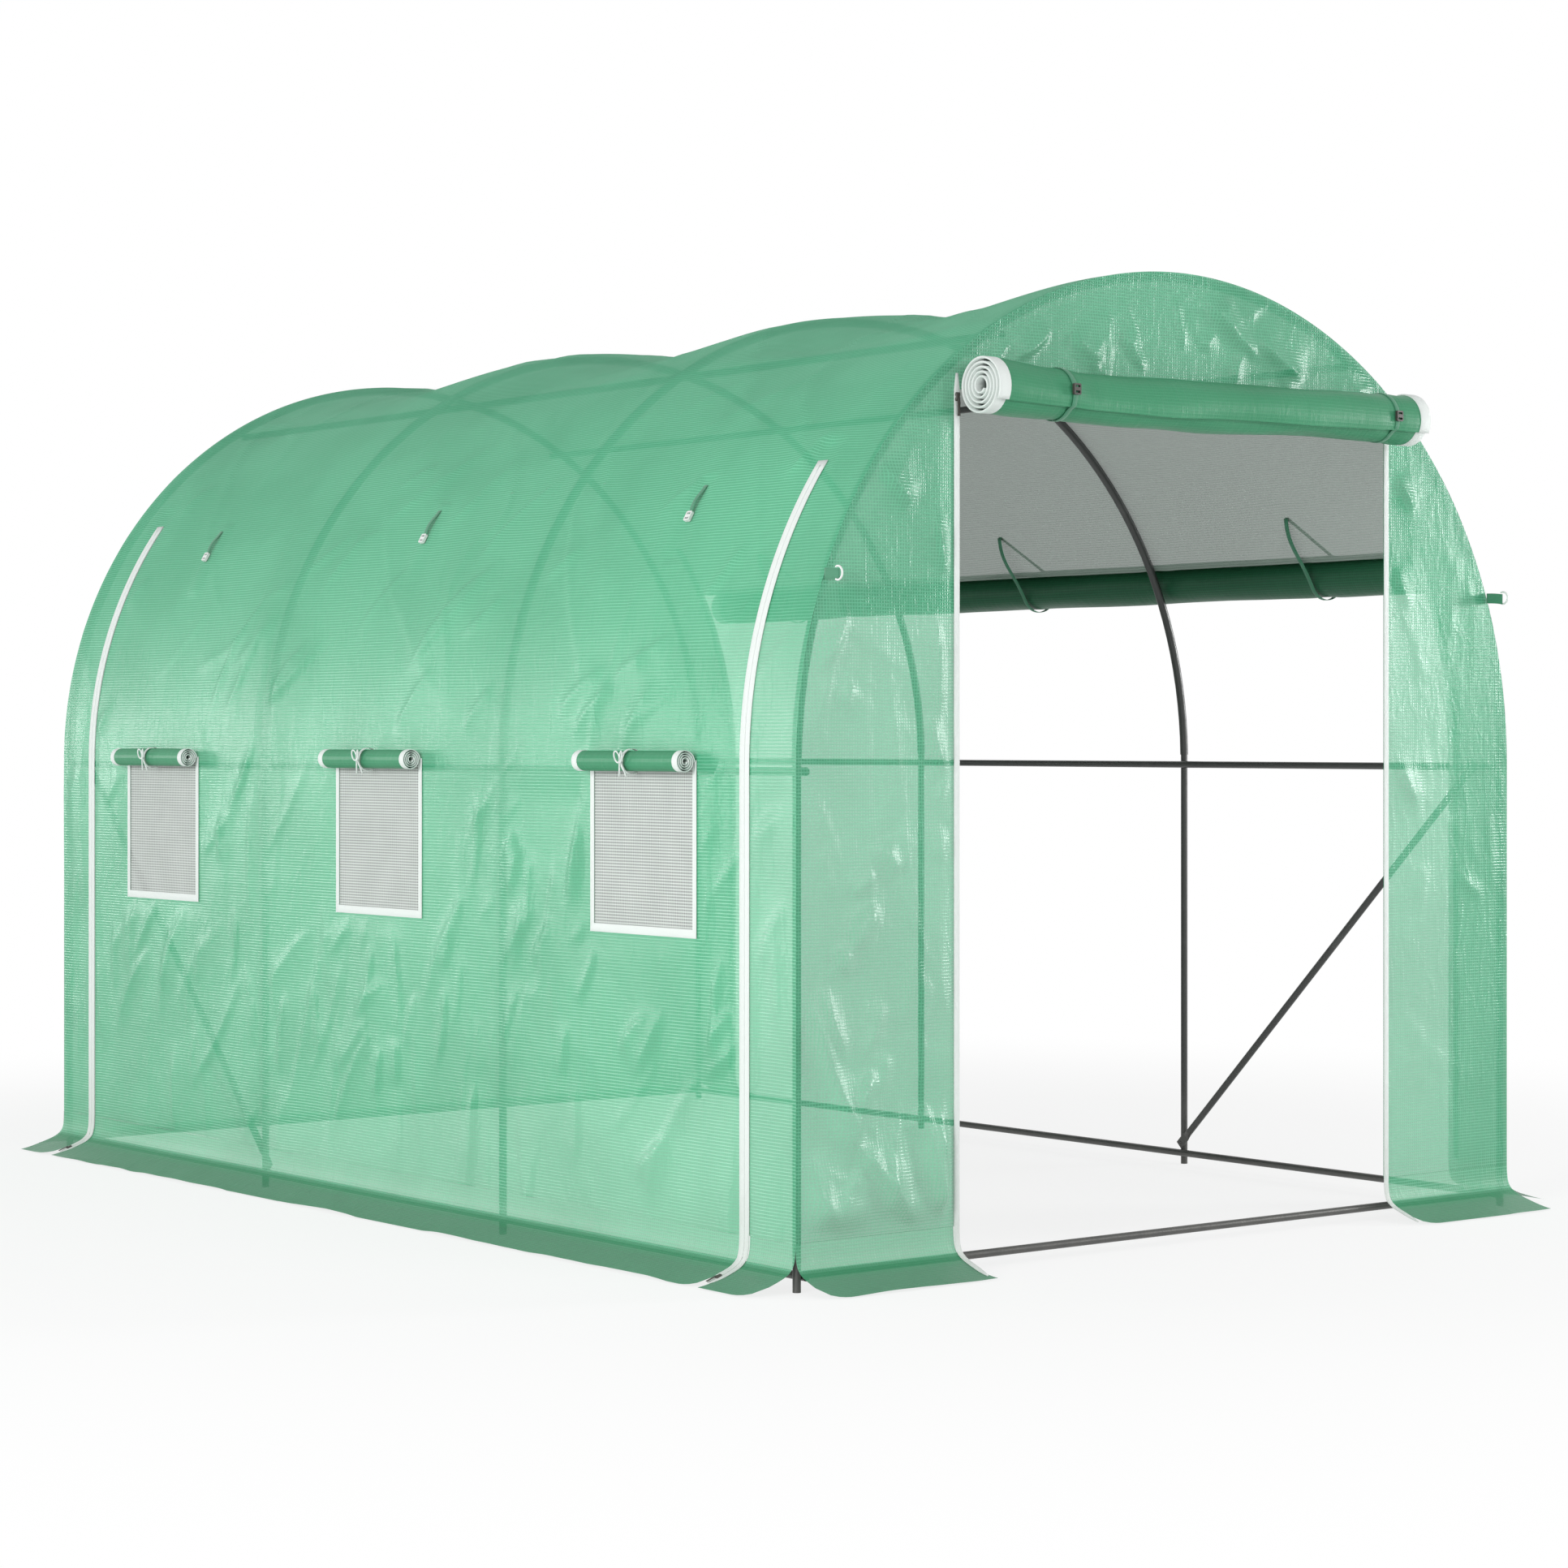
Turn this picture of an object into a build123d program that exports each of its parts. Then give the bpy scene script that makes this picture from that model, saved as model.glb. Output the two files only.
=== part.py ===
from build123d import *
import os
from math import acos, atan2, cos, degrees, hypot, pi, radians, sin, sqrt

# Walk-in polytunnel greenhouse, in millimetres. X runs across the tunnel, Y along it with the
# door at -Y, and Z up from the floor that the hoop legs stand on, at the middle of the plan.

# Frame layout
hoop_radius = 990.0         # leg centre to the tunnel's middle, and the arch's centre line
spring_height = 978.0       # the legs are straight up to here, the arch is a half circle above
bay_length = 987.0          # hoop centre to hoop centre
bay_count = 3
mid_rail_drop = 8.0         # the mid rail's middle below the spring line
ground_rail_height = 28.0
purlin_angle = 60.0         # above the horizontal, on both slopes

# Steel tube
arch_diameter = 19.0
tube_diameter = 16.0        # legs, rails, purlins and braces
tube_wall = 1.0
socket_rise = 16.0          # the arch's open end stands this far above the spring line
socket_depth = 40.0         # the leg's top goes this far up inside the arch
bar_gap = 0.3               # between one tube and the tube that it is bolted to

# Diagonal braces with pressed ends
pressed_thickness = 2.0
pressed_width = 22.0
pressed_length = 20.0       # from the bolt to where the tube starts to flatten
pressed_transition = 18.0
pressed_bolt = 6.5
brace_foot_height = 52.0
brace_head_inset = 56.0     # the brace's upper bolt to the end hoop

# Cover cloth, its seams and its zips
cloth = 1.5
cloth_gap = 0.3             # between sewn or lapped cloths, and between cloth and steel
roof_edge_angle = 36.0      # where the zips end and the roof cloth begins, above the horizontal
roof_sag = 45.0             # the roof's dip at the crown, half way between two hoops
purlin_clearance = 0.8      # the slack roof cloth over the purlins
roof_steps = 4              # stations per bay where the roof's wave is set
zip_inset = 144.0           # the side zip's middle to the end hoop
zip_width = 30.0
door_zip_width = 14.0
header_angle = 29.0         # the fixed cloth over the open side comes down to here

# Ground skirts
skirt_height = 92.0
skirt_bend = 84.0
skirt_reach = 108.0
skirt_corner = 64.0
skirt_corner_limit = 0.45   # of the flap's length, for short flaps

# Doorway
door_width = 1200.0
door_rise = 727.0           # the doorway's top edge above the spring line

# Windows in the left curtain
window_width = 356.0
window_bottom = 646.0
window_top = 990.0
window_border = 12.0
window_shift = -20.0        # the window's middle to the bay's middle
net_thickness = 0.8

# Rolled cloths
door_roll_eye = 9.0
door_roll_pitch = 8.8
door_roll_turns = 5
door_roll_layer = 4.6
door_roll_overhang = 22.0   # beyond each side of the doorway
door_roll_rise = 4.0        # the roll's middle above the doorway's top edge
side_roll_eye = 8.0
side_roll_pitch = 8.2
side_roll_turns = 5
side_roll_layer = 4.4
side_roll_angle = 24.0      # the roll's middle, above the horizontal
flap_roll_eye = 4.0
flap_roll_pitch = 4.6
flap_roll_turns = 4
flap_roll_layer = 2.6
flap_roll_drop = 3.0        # the roll's middle below the window's top edge
flap_tie_width = 9.0

# Straps, buckles and hooks
strap = 1.2
strap_width = 12.0
strap_spread = 920.0        # between the door roll's two straps
strap_shift = 60.0          # the door straps' middle to the doorway's middle
strap_angle = 34.0          # the sewn end of the side straps
strap_hang = 88.0
buckle_length = 22.0
buckle_width = 18.0
buckle_thickness = 6.0
buckle_slot = 4.4
buckle_bar = 6.6            # the middle bar, between the two slots
hook_rise = 362.0           # the hooks above the spring line
hook_tab_length = 44.0
hook_tab_width = 22.0
hook_radius = 13.0
hook_wire = 4.0
hook_turn = 235.0
hook_lap = 7.0              # the hook's ends lie this far over the tab

# Places that several pieces share
tunnel_half_length = bay_count * bay_length / 2
hoop_stations = [index * bay_length - tunnel_half_length for index in range(bay_count + 1)]
bay_middles = [station + bay_length / 2 for station in hoop_stations[:-1]]
cloth_inside = hoop_radius + arch_diameter / 2 + cloth_gap
cloth_outside = cloth_inside + cloth
end_cloth_inside = tunnel_half_length + arch_diameter / 2 + cloth_gap
end_cloth_outside = end_cloth_inside + cloth_gap + cloth
rail_offset = hoop_radius - tube_diameter - bar_gap
rail_half_length = tunnel_half_length + tube_diameter / 2
zip_station = tunnel_half_length - zip_inset
wall_foot = skirt_height + cloth_gap
door_half_width = door_width / 2
mid_rail_height = spring_height - mid_rail_drop
door_height = spring_height + door_rise
flap_roll_height = window_top - flap_roll_drop
hook_height = spring_height + hook_rise
curtain_edge = zip_station - zip_width / 2 - cloth_gap
strip_edge = zip_station + zip_width / 2 + cloth_gap
door_skirt_edge = door_half_width + door_zip_width
hem_angle = roof_edge_angle - degrees(cloth_gap / cloth_inside)


def ring(diameter):
    """The cross-section of a round tube."""
    return Circle(diameter / 2) - Circle(diameter / 2 - tube_wall)


def tube(start, end):
    """A straight round tube between two points."""
    run = Vector(*end) - Vector(*start)
    return extrude(Plane(start, z_dir=run) * ring(tube_diameter), run.length)


def bent_tube(diameter, station, start_angle, turn):
    """A tube bent along the hoop's half circle, with angles measured up from +X."""
    arch_axis = Axis((0, station, spring_height), (0, -1, 0))
    section = Plane((hoop_radius, station, spring_height)) * ring(diameter)
    return revolve(section, arch_axis, turn).rotate(arch_axis, start_angle)


def cross_plane(station):
    """The upright plane across the tunnel at a station along Y; it extrudes towards -Y."""
    return Plane((0, station, 0), x_dir=(1, 0, 0), z_dir=(0, -1, 0))


def on_arch(radius, angle):
    """A point of a circle round the arch's middle, in the cross plane."""
    return (radius * cos(radians(angle)), spring_height + radius * sin(radians(angle)))


def hoop_arch(station):
    rise_angle = degrees(socket_rise / hoop_radius)
    return bent_tube(arch_diameter, station, rise_angle, 180 - 2 * rise_angle)


def hoop_legs(station):
    """Both legs of a hoop, each with its top bent to follow the arch that it plugs into."""
    top_angle = degrees((socket_rise + socket_depth) / hoop_radius)
    straight = tube((hoop_radius, station, 0), (hoop_radius, station, spring_height))
    leg = straight + bent_tube(tube_diameter, station, 0, top_angle)
    return [leg, leg.mirror(Plane.YZ)]


def purlin(angle):
    """A roof bar under the arches, parallel to the ridge."""
    x, z = on_arch(hoop_radius - (arch_diameter + tube_diameter) / 2 - bar_gap, angle)
    return tube((x, -rail_half_length, z), (x, rail_half_length, z))


def side_rail(side, height):
    x = side * rail_offset
    return tube((x, -rail_half_length, height), (x, rail_half_length, height))


def end_ground_rail(end):
    """The ground bar across an end, which butts against the insides of both side bars."""
    x = rail_offset - tube_diameter / 2 - bar_gap
    y = end * (tunnel_half_length - tube_diameter - bar_gap)
    return tube((-x, y, ground_rail_height), (x, y, ground_rail_height))


def brace(side, end):
    """A diagonal tube from the foot of an inner leg to the mid rail near an end hoop."""
    foot_inset = tube_diameter / 2 + bar_gap + pressed_thickness / 2
    inner_station = end * (tunnel_half_length - bay_length)
    foot = Vector(side * (hoop_radius - foot_inset), inner_station, brace_foot_height)
    head = Vector(
        side * (rail_offset - foot_inset),
        end * (tunnel_half_length - brace_head_inset),
        mid_rail_height,
    )
    run = head - foot
    frame = Plane(foot, x_dir=run.cross(Vector(0, end * side, 0)).cross(run), z_dir=run)
    flat = Rectangle(pressed_width, pressed_thickness)
    round_start = pressed_length + pressed_transition
    body = extrude(
        frame.offset(round_start) * ring(tube_diameter), run.length - 2 * round_start
    )
    for near, far in ((0, round_start), (run.length, run.length - round_start)):
        step = 1 if far > near else -1
        tongue = extrude(
            frame.offset(near - step * pressed_width / 2) * flat,
            step * (pressed_length + pressed_width / 2),
        )
        tongue -= frame.offset(near) * Rot(90, 0, 0) * Cylinder(
            pressed_bolt / 2, 2 * pressed_thickness
        )
        flare = loft([
            frame.offset(near + step * pressed_length) * flat,
            frame.offset(far) * Circle(tube_diameter / 2),
        ])
        body += [tongue, flare]
    return body


def side_cloth(side, back, front, low_height, high_angle):
    """A strip of side cloth: upright to the spring line, then round the arch."""
    with BuildSketch() as section:
        with BuildLine():
            inner = CenterArc((0, spring_height), cloth_inside, 0, high_angle)
            outer = CenterArc((0, spring_height), cloth_outside, 0, high_angle)
            Line(inner @ 1, outer @ 1)
            Polyline(
                inner @ 0, (cloth_inside, low_height), (cloth_outside, low_height), outer @ 0
            )
        make_face()
    shell = extrude(cross_plane(back) * section.sketch, back - front)
    return shell if side > 0 else shell.mirror(Plane.YZ)


def arch_band(inside, outside, low_angle, high_angle):
    """A cross-section between two radii, round part of the arch."""
    with BuildSketch() as section:
        with BuildLine():
            inner = CenterArc((0, spring_height), inside, low_angle, high_angle - low_angle)
            outer = CenterArc((0, spring_height), outside, low_angle, high_angle - low_angle)
            Line(inner @ 0, outer @ 0)
            Line(inner @ 1, outer @ 1)
        make_face()
    return section.sketch


def roof_cloth():
    """The roof sheet: tight over each hoop, and hollow between the hoops like a saddle.

    Half way between two hoops it lies on the purlins and dips furthest at the crown.
    """
    purlin_sag = arch_diameter + bar_gap - purlin_clearance
    angles = [roof_edge_angle, purlin_angle, 90, 180 - purlin_angle, 180 - roof_edge_angle]
    sags = [0, purlin_sag, roof_sag, purlin_sag, 0]

    def profile(radius, share, station):
        """Arcs from one roof edge to the other, joined over the purlins and at the crown."""
        stops = []
        for index, (sag, angle) in enumerate(zip(sags, angles)):
            if index:
                middle_sag = (sag + sags[index - 1]) / 2
                middle_angle = (angle + angles[index - 1]) / 2
                stops.append(on_arch(radius - share * middle_sag, middle_angle))
            stops.append(on_arch(radius - share * sag, angle))
        stops = [Vector(x, station, z) for x, z in stops]
        return [
            Edge.make_three_point_arc(*stops[start:start + 3])
            for start in range(0, len(stops) - 1, 2)
        ]

    def section(station, share):
        inner = profile(cloth_inside, share, station)
        outer = profile(cloth_outside, share, station)
        hems = [Edge.make_line(inner[0] @ 0, outer[0] @ 0),
                Edge.make_line(inner[-1] @ 1, outer[-1] @ 1)]
        return Wire(inner + outer + hems)

    hoop_edge = tunnel_half_length - arch_diameter / 2
    shares = [(station, 0) for station in
              (-end_cloth_inside, -hoop_edge, *hoop_stations[1:-1], hoop_edge, end_cloth_inside)]
    for bay_start in hoop_stations[:-1]:
        for part in range(1, roof_steps):
            wave = (1 - cos(2 * pi * part / roof_steps)) / 2
            shares.append((bay_start + part * bay_length / roof_steps, wave))
    return Solid.make_loft([section(station, share) for station, share in sorted(shares)])


def end_outline():
    """The whole end wall's outline above the skirt, in the cross plane."""
    upright = Pos(0, (wall_foot + spring_height) / 2) * Rectangle(
        2 * cloth_outside, spring_height - wall_foot
    )
    crown = Pos(0, spring_height) * Circle(cloth_outside)
    above = Pos(0, spring_height + cloth_outside / 2) * Rectangle(
        2 * cloth_outside, cloth_outside
    )
    return upright + (crown & above)


def end_cloth(end, outline):
    """A flat end cloth of the given outline, outside the end hoop."""
    face = end_cloth_inside + cloth_gap
    back = face + cloth if end > 0 else -face
    return extrude(cross_plane(back) * outline, cloth)


def doorway_column():
    """The doorway's width, from the floor up past the roof."""
    tall = spring_height + 2 * cloth_outside
    return Pos(0, tall / 2) * Rectangle(door_width, tall)


def front_gable():
    below = Pos(0, door_height / 2) * Rectangle(door_width, door_height)
    return end_cloth(-1, (end_outline() & doorway_column()) - below)


def front_side_panel(side):
    half = Pos(side * cloth_outside / 2, spring_height) * Rectangle(
        cloth_outside - 2 * cloth_gap, 3 * cloth_outside
    )
    return end_cloth(-1, (end_outline() & half) - doorway_column() - gable_seam())


def gable_seam():
    """The hair's breadth kept open between the gable cloth and the two side cloths."""
    height = spring_height + 2 * cloth_outside
    return Pos(0, height / 2) * Rectangle(door_width + 2 * cloth_gap, height)


def skirt(length, round_start=True, round_end=True):
    """A ground flap along local Y from 0 to length, turned outwards along local X."""
    with BuildSketch() as section:
        with BuildLine():
            under = CenterArc((skirt_bend, skirt_bend), skirt_bend, 180, 90)
            over = CenterArc((skirt_bend, skirt_bend), skirt_bend - cloth, 180, 90)
            Polyline(under @ 1, (skirt_reach, 0), (skirt_reach, cloth), over @ 1)
            Polyline(under @ 0, (0, skirt_height), (cloth, skirt_height), over @ 0)
        make_face()
    flap = extrude(cross_plane(length) * section.sketch, length)
    with BuildSketch() as plan:
        with Locations((skirt_reach / 2, length / 2)):
            Rectangle(skirt_reach, length)
        outer = plan.vertices().group_by(Axis.X)[-1].sort_by(Axis.Y)
        rounded = [corner for corner, wanted in
                   zip(outer, (round_start, round_end)) if wanted]
        if rounded:
            fillet(rounded, min(skirt_corner, skirt_corner_limit * length))
    return flap & extrude(plan.sketch, skirt_height)


def side_skirt(side, front, back):
    flap = Pos(cloth_inside, front, 0) * skirt(back - front)
    return flap if side > 0 else flap.mirror(Plane.YZ)


def end_skirt(end, left, right):
    face = end_cloth_inside + cloth_gap
    flap = Pos(right, face, 0) * Rot(0, 0, 90) * skirt(right - left)
    return flap if end > 0 else flap.mirror(Plane.XZ)


def spiral_roll(eye, pitch, turns, layer, length):
    """A cloth wound on itself: half circles whose two centres lie half a pitch apart.

    The roll lies along local Z from 0 to length, with its middle on the Z axis.
    """
    with BuildSketch() as section:
        with BuildLine():
            faces = []
            for rise in (0, layer):
                arcs = []
                for half in range(2 * turns):
                    centre = pitch / 4 if half % 2 else -pitch / 4
                    radius = eye + rise + half * pitch / 2
                    start = 180 if half % 2 else 0
                    arcs.append(CenterArc((centre, 0), radius, start, 180))
                faces.append(arcs)
            Line(faces[0][0] @ 0, faces[1][0] @ 0)
            Line(faces[0][-1] @ 1, faces[1][-1] @ 1)
        make_face()
    return extrude(section.sketch, length)


def roll_radius(eye, pitch, turns, layer):
    """The largest reach of a spiral roll from its axis."""
    return eye + layer + (2 * turns - 1) * pitch / 2 + pitch / 4


door_roll_radius = roll_radius(door_roll_eye, door_roll_pitch, door_roll_turns, door_roll_layer)
door_roll_height = door_height + door_roll_rise
door_roll_station = -(end_cloth_outside + 2 * cloth_gap + strap + door_roll_radius)
side_roll_radius = roll_radius(side_roll_eye, side_roll_pitch, side_roll_turns, side_roll_layer)
side_roll_middle = on_arch(cloth_outside + cloth_gap + side_roll_radius, side_roll_angle)
flap_roll_radius = roll_radius(flap_roll_eye, flap_roll_pitch, flap_roll_turns, flap_roll_layer)
flap_roll_offset = cloth_outside + 2 * cloth + 3 * cloth_gap + flap_roll_radius


def door_roll():
    length = door_width + 2 * door_roll_overhang
    roll = spiral_roll(
        door_roll_eye, door_roll_pitch, door_roll_turns, door_roll_layer, length
    )
    lying = Plane((-length / 2, door_roll_station, door_roll_height), z_dir=(1, 0, 0))
    return lying * roll


def side_curtain_roll():
    length = 2 * (zip_station - zip_width / 2)
    roll = spiral_roll(
        side_roll_eye, side_roll_pitch, side_roll_turns, side_roll_layer, length
    )
    x, z = side_roll_middle
    return Plane((x, -length / 2, z), x_dir=(1, 0, 0), z_dir=(0, 1, 0)) * roll


def window_middles():
    return [middle + window_shift for middle in bay_middles]


def window_box(station, low, high, width, inside, outside):
    """A flat upright block in the left wall, between two distances from the middle."""
    return Pos(-(inside + outside) / 2, station, (low + high) / 2) * Box(
        outside - inside, width, high - low
    )


def left_curtain():
    """The closed side curtain between the two left zips, cut through for the windows."""
    curtain = side_cloth(-1, curtain_edge, -curtain_edge, wall_foot, hem_angle)
    inner_width = window_width - 2 * window_border
    for station in window_middles():
        curtain -= window_box(
            station, window_bottom + window_border, window_top - window_border,
            inner_width, cloth_inside - cloth, cloth_outside + cloth,
        )
    return curtain


def window_frames():
    inner_width = window_width - 2 * window_border
    inside = cloth_outside + cloth_gap
    frames = []
    for station in window_middles():
        border = window_box(
            station, window_bottom, window_top, window_width, inside, inside + cloth
        )
        border -= window_box(
            station, window_bottom + window_border, window_top - window_border,
            inner_width, inside - cloth, inside + 2 * cloth,
        )
        frames.append(border)
    return frames


def window_nets():
    """The insect nets, each in its hole in the curtain."""
    width = window_width - 2 * window_border - 2 * cloth_gap
    middle = (cloth_inside + cloth_outside) / 2
    low = window_bottom + window_border + cloth_gap
    high = window_top - window_border - cloth_gap
    return [
        window_box(station, low, high, width,
                   middle - net_thickness / 2, middle + net_thickness / 2)
        for station in window_middles()
    ]


def window_flap_rolls():
    roll = spiral_roll(
        flap_roll_eye, flap_roll_pitch, flap_roll_turns, flap_roll_layer, window_width
    )
    rolls = []
    for station in window_middles():
        start = (-flap_roll_offset, station - window_width / 2, flap_roll_height)
        rolls.append(Plane(start, x_dir=(-1, 0, 0), z_dir=(0, 1, 0)) * roll)
    return rolls


def window_ties():
    """A tape tied round the middle of each rolled-up window flap."""
    inner = flap_roll_radius + cloth_gap
    band = extrude(Circle(inner + cloth) - Circle(inner), flap_tie_width)
    ties = []
    for station in window_middles():
        start = (-flap_roll_offset, station - flap_tie_width / 2, flap_roll_height)
        ties.append(Plane(start, x_dir=(-1, 0, 0), z_dir=(0, 1, 0)) * band)
    return ties


def side_zip_tape(side, end):
    """The zip tape that covers the slit beside an end hoop, from the skirt to the roof."""
    station = end * zip_station + zip_width / 2
    inside = cloth_outside + cloth_gap
    band = arch_band(inside, inside + cloth, 0, roof_edge_angle)
    foot = Pos(inside + cloth / 2, (wall_foot + spring_height) / 2) * Rectangle(
        cloth, spring_height - wall_foot
    )
    tape = extrude(cross_plane(station) * (band + foot), zip_width)
    return tape if side > 0 else tape.mirror(Plane.YZ)


def door_zip_tape(side):
    """The zip tape along one edge of the doorway, on the outer face."""
    x = side * (door_half_width + cloth_gap + door_zip_width / 2)
    face = -(end_cloth_outside + cloth_gap)
    low = wall_foot
    high = door_roll_height - door_roll_radius
    return Pos(x, face - cloth / 2, (low + high) / 2) * Box(door_zip_width, cloth, high - low)


def door_strap_stations():
    return [strap_shift + side * strap_spread / 2 for side in (-1, 1)]


def door_roll_straps():
    inner = door_roll_radius + cloth_gap
    band = extrude(Circle(inner + strap) - Circle(inner), strap_width)
    return [
        Plane((x - strap_width / 2, door_roll_station, door_roll_height), z_dir=(1, 0, 0)) * band
        for x in door_strap_stations()
    ]


def buckle():
    """A two-bar slide buckle lying in local XY, with its back on Z = 0."""
    plate_align = (Align.CENTER, Align.CENTER, Align.MIN)
    plate = Box(buckle_width, buckle_length, buckle_thickness, align=plate_align)
    slot = Box(strap_width, buckle_slot, 2 * buckle_thickness, align=plate_align)
    plate = fillet(plate.edges().filter_by(Axis.Z), buckle_thickness / 2)
    slot_offset = (buckle_bar + buckle_slot) / 2
    return plate - [Pos(0, side * slot_offset, 0) * slot for side in (-1, 1)]


def door_roll_buckles():
    reach = door_roll_radius + strap + 2 * cloth_gap
    return [
        Plane((x, door_roll_station - reach, door_roll_height), x_dir=(1, 0, 0), z_dir=(0, -1, 0))
        * buckle()
        for x in door_strap_stations()
    ]


def curtain_strap_path(side_point, tangent_side):
    """Where a strap from a point meets the side roll: the angle of its tangent point."""
    x, z = side_roll_middle
    away = (side_point[0] - x, side_point[1] - z)
    reach = side_roll_radius + cloth_gap + strap
    return degrees(atan2(away[1], away[0]) + tangent_side * acos(reach / hypot(*away)))


def curtain_roll_straps():
    """Straps that hang from both faces of the fixed cloth and carry the rolled curtain."""
    inner_radius = cloth_inside - cloth_gap
    outer_radius = cloth_outside + cloth_gap
    tops = (
        (on_arch(inner_radius - strap, strap_angle), on_arch(inner_radius, strap_angle), 1),
        (on_arch(outer_radius + strap, strap_angle), on_arch(outer_radius, strap_angle), -1),
    )
    near_angle = curtain_strap_path(tops[0][0], 1)
    far_angle = curtain_strap_path(tops[1][0], -1)
    x, z = side_roll_middle
    inner = side_roll_radius + cloth_gap
    with BuildSketch() as section:
        with BuildLine():
            turn = far_angle + 360 - near_angle
            outside = CenterArc((x, z), inner + strap, near_angle, turn)
            inside = CenterArc((x, z), inner, near_angle, turn)
            Polyline(outside @ 0, tops[0][0], tops[0][1], inside @ 0)
            Polyline(outside @ 1, tops[1][0], tops[1][1], inside @ 1)
        make_face()
    return [
        extrude(cross_plane(middle + strap_width / 2) * section.sketch, strap_width)
        for middle in bay_middles
    ]


def left_wall_straps():
    """Loose straps on the closed side, ready for its curtain when that is rolled up."""
    inside = cloth_outside + cloth_gap
    hang_angle = degrees(strap_hang / inside)
    band = arch_band(inside, inside + strap, strap_angle - hang_angle, strap_angle)
    return [
        extrude(cross_plane(middle + strap_width / 2) * band, strap_width).mirror(Plane.YZ)
        for middle in bay_middles
    ]


def left_wall_buckles():
    inside = cloth_outside + 2 * cloth_gap + strap
    angle = strap_angle - degrees((strap_hang - buckle_length / 2) / inside)
    x, z = on_arch(inside, angle)
    outwards = (-cos(radians(angle)), 0, sin(radians(angle)))
    return [
        Plane((-x, middle, z), x_dir=(0, 1, 0), z_dir=outwards) * buckle()
        for middle in bay_middles
    ]


def hook_tab_offset():
    """How far from the middle the side cloth is at the hooks' height."""
    rise = hook_height - spring_height
    return sqrt(((cloth_inside + cloth_outside) / 2) ** 2 - rise ** 2)


def hook_tabs():
    """Cloth tabs sewn into the front seam on both slopes, pointing forwards."""
    start = -(end_cloth_outside + cloth_gap)
    tab = Pos(hook_tab_offset(), start - hook_tab_length / 2, hook_height) * Box(
        cloth, hook_tab_length, hook_tab_width
    )
    return [tab, tab.mirror(Plane.YZ)]


def hooks():
    """Open wire hooks at the ends of the tabs."""
    x = hook_tab_offset() + cloth / 2 + cloth_gap + hook_wire / 2
    tab_end = -(end_cloth_outside + cloth_gap + hook_tab_length)
    ends = hook_radius * cos(radians(hook_turn / 2))
    centre = (x, tab_end + hook_lap + ends, hook_height)
    path = Plane(centre, x_dir=(0, -1, 0), z_dir=(1, 0, 0)) * CenterArc(
        (0, 0), hook_radius, -hook_turn / 2, hook_turn
    )
    wire = sweep(Plane(path @ 0, z_dir=path % 0) * Circle(hook_wire / 2), path)
    return [wire, wire.mirror(Plane.YZ)]


def end_strips(side, end):
    """The fixed side cloth between a zip and its end hoop."""
    near, far = sorted((end * (zip_station + cloth_gap), end * end_cloth_inside))
    return side_cloth(side, far, near, wall_foot, hem_angle)


def strip_skirt(side, end):
    near, far = sorted((end * strip_edge, end * end_cloth_inside))
    return side_skirt(side, near, far)


def right_header():
    """The fixed cloth over the open side, which the side straps hang from."""
    edge = zip_station - cloth_gap
    band = arch_band(cloth_inside, cloth_outside, header_angle, hem_angle)
    return extrude(cross_plane(edge) * band, 2 * edge)


hoop_names = ["front_hoop", "second_hoop", "third_hoop", "back_hoop"]
nodes = {}
for name, hoop_station in zip(hoop_names, hoop_stations):
    nodes[name + "_arch"] = hoop_arch(hoop_station)
    nodes[name + "_legs"] = hoop_legs(hoop_station)
for name, side_sign in (("left", -1), ("right", 1)):
    nodes[name + "_purlin"] = purlin(90 + side_sign * (purlin_angle - 90))
    nodes[name + "_mid_rail"] = side_rail(side_sign, mid_rail_height)
    nodes[name + "_ground_rail"] = side_rail(side_sign, ground_rail_height)
    nodes[name + "_front_strip"] = end_strips(side_sign, -1)
    nodes[name + "_back_strip"] = end_strips(side_sign, 1)
    nodes["front_" + name + "_panel"] = front_side_panel(side_sign)
nodes["front_ground_rail"] = end_ground_rail(-1)
nodes["back_ground_rail"] = end_ground_rail(1)
nodes["right_brace"] = brace(1, -1)
nodes["left_brace"] = brace(-1, 1)
nodes["roof_cover"] = roof_cloth()
nodes["left_curtain"] = left_curtain()
nodes["right_header"] = right_header()
nodes["front_gable"] = front_gable()
nodes["back_panel"] = end_cloth(1, end_outline())
nodes["left_skirt"] = side_skirt(-1, -curtain_edge, curtain_edge)
nodes["strip_skirts"] = [strip_skirt(side, end) for side in (-1, 1) for end in (-1, 1)]
nodes["front_skirts"] = [
    end_skirt(-1, -cloth_outside, -door_skirt_edge),
    end_skirt(-1, door_skirt_edge, cloth_outside),
]
nodes["back_skirt"] = end_skirt(1, -cloth_outside, cloth_outside)
nodes["door_roll"] = door_roll()
nodes["right_curtain_roll"] = side_curtain_roll()
nodes["window_frames"] = window_frames()
nodes["window_nets"] = window_nets()
nodes["window_flap_rolls"] = window_flap_rolls()
nodes["window_ties"] = window_ties()
nodes["side_zip_tapes"] = [side_zip_tape(side, end) for side in (-1, 1) for end in (-1, 1)]
nodes["door_zip_tapes"] = [door_zip_tape(side) for side in (-1, 1)]
nodes["door_roll_straps"] = door_roll_straps()
nodes["door_roll_buckles"] = door_roll_buckles()
nodes["curtain_roll_straps"] = curtain_roll_straps()
nodes["left_wall_straps"] = left_wall_straps()
nodes["left_wall_buckles"] = left_wall_buckles()
nodes["hook_tabs"] = hook_tabs()
nodes["hooks"] = hooks()

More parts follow.
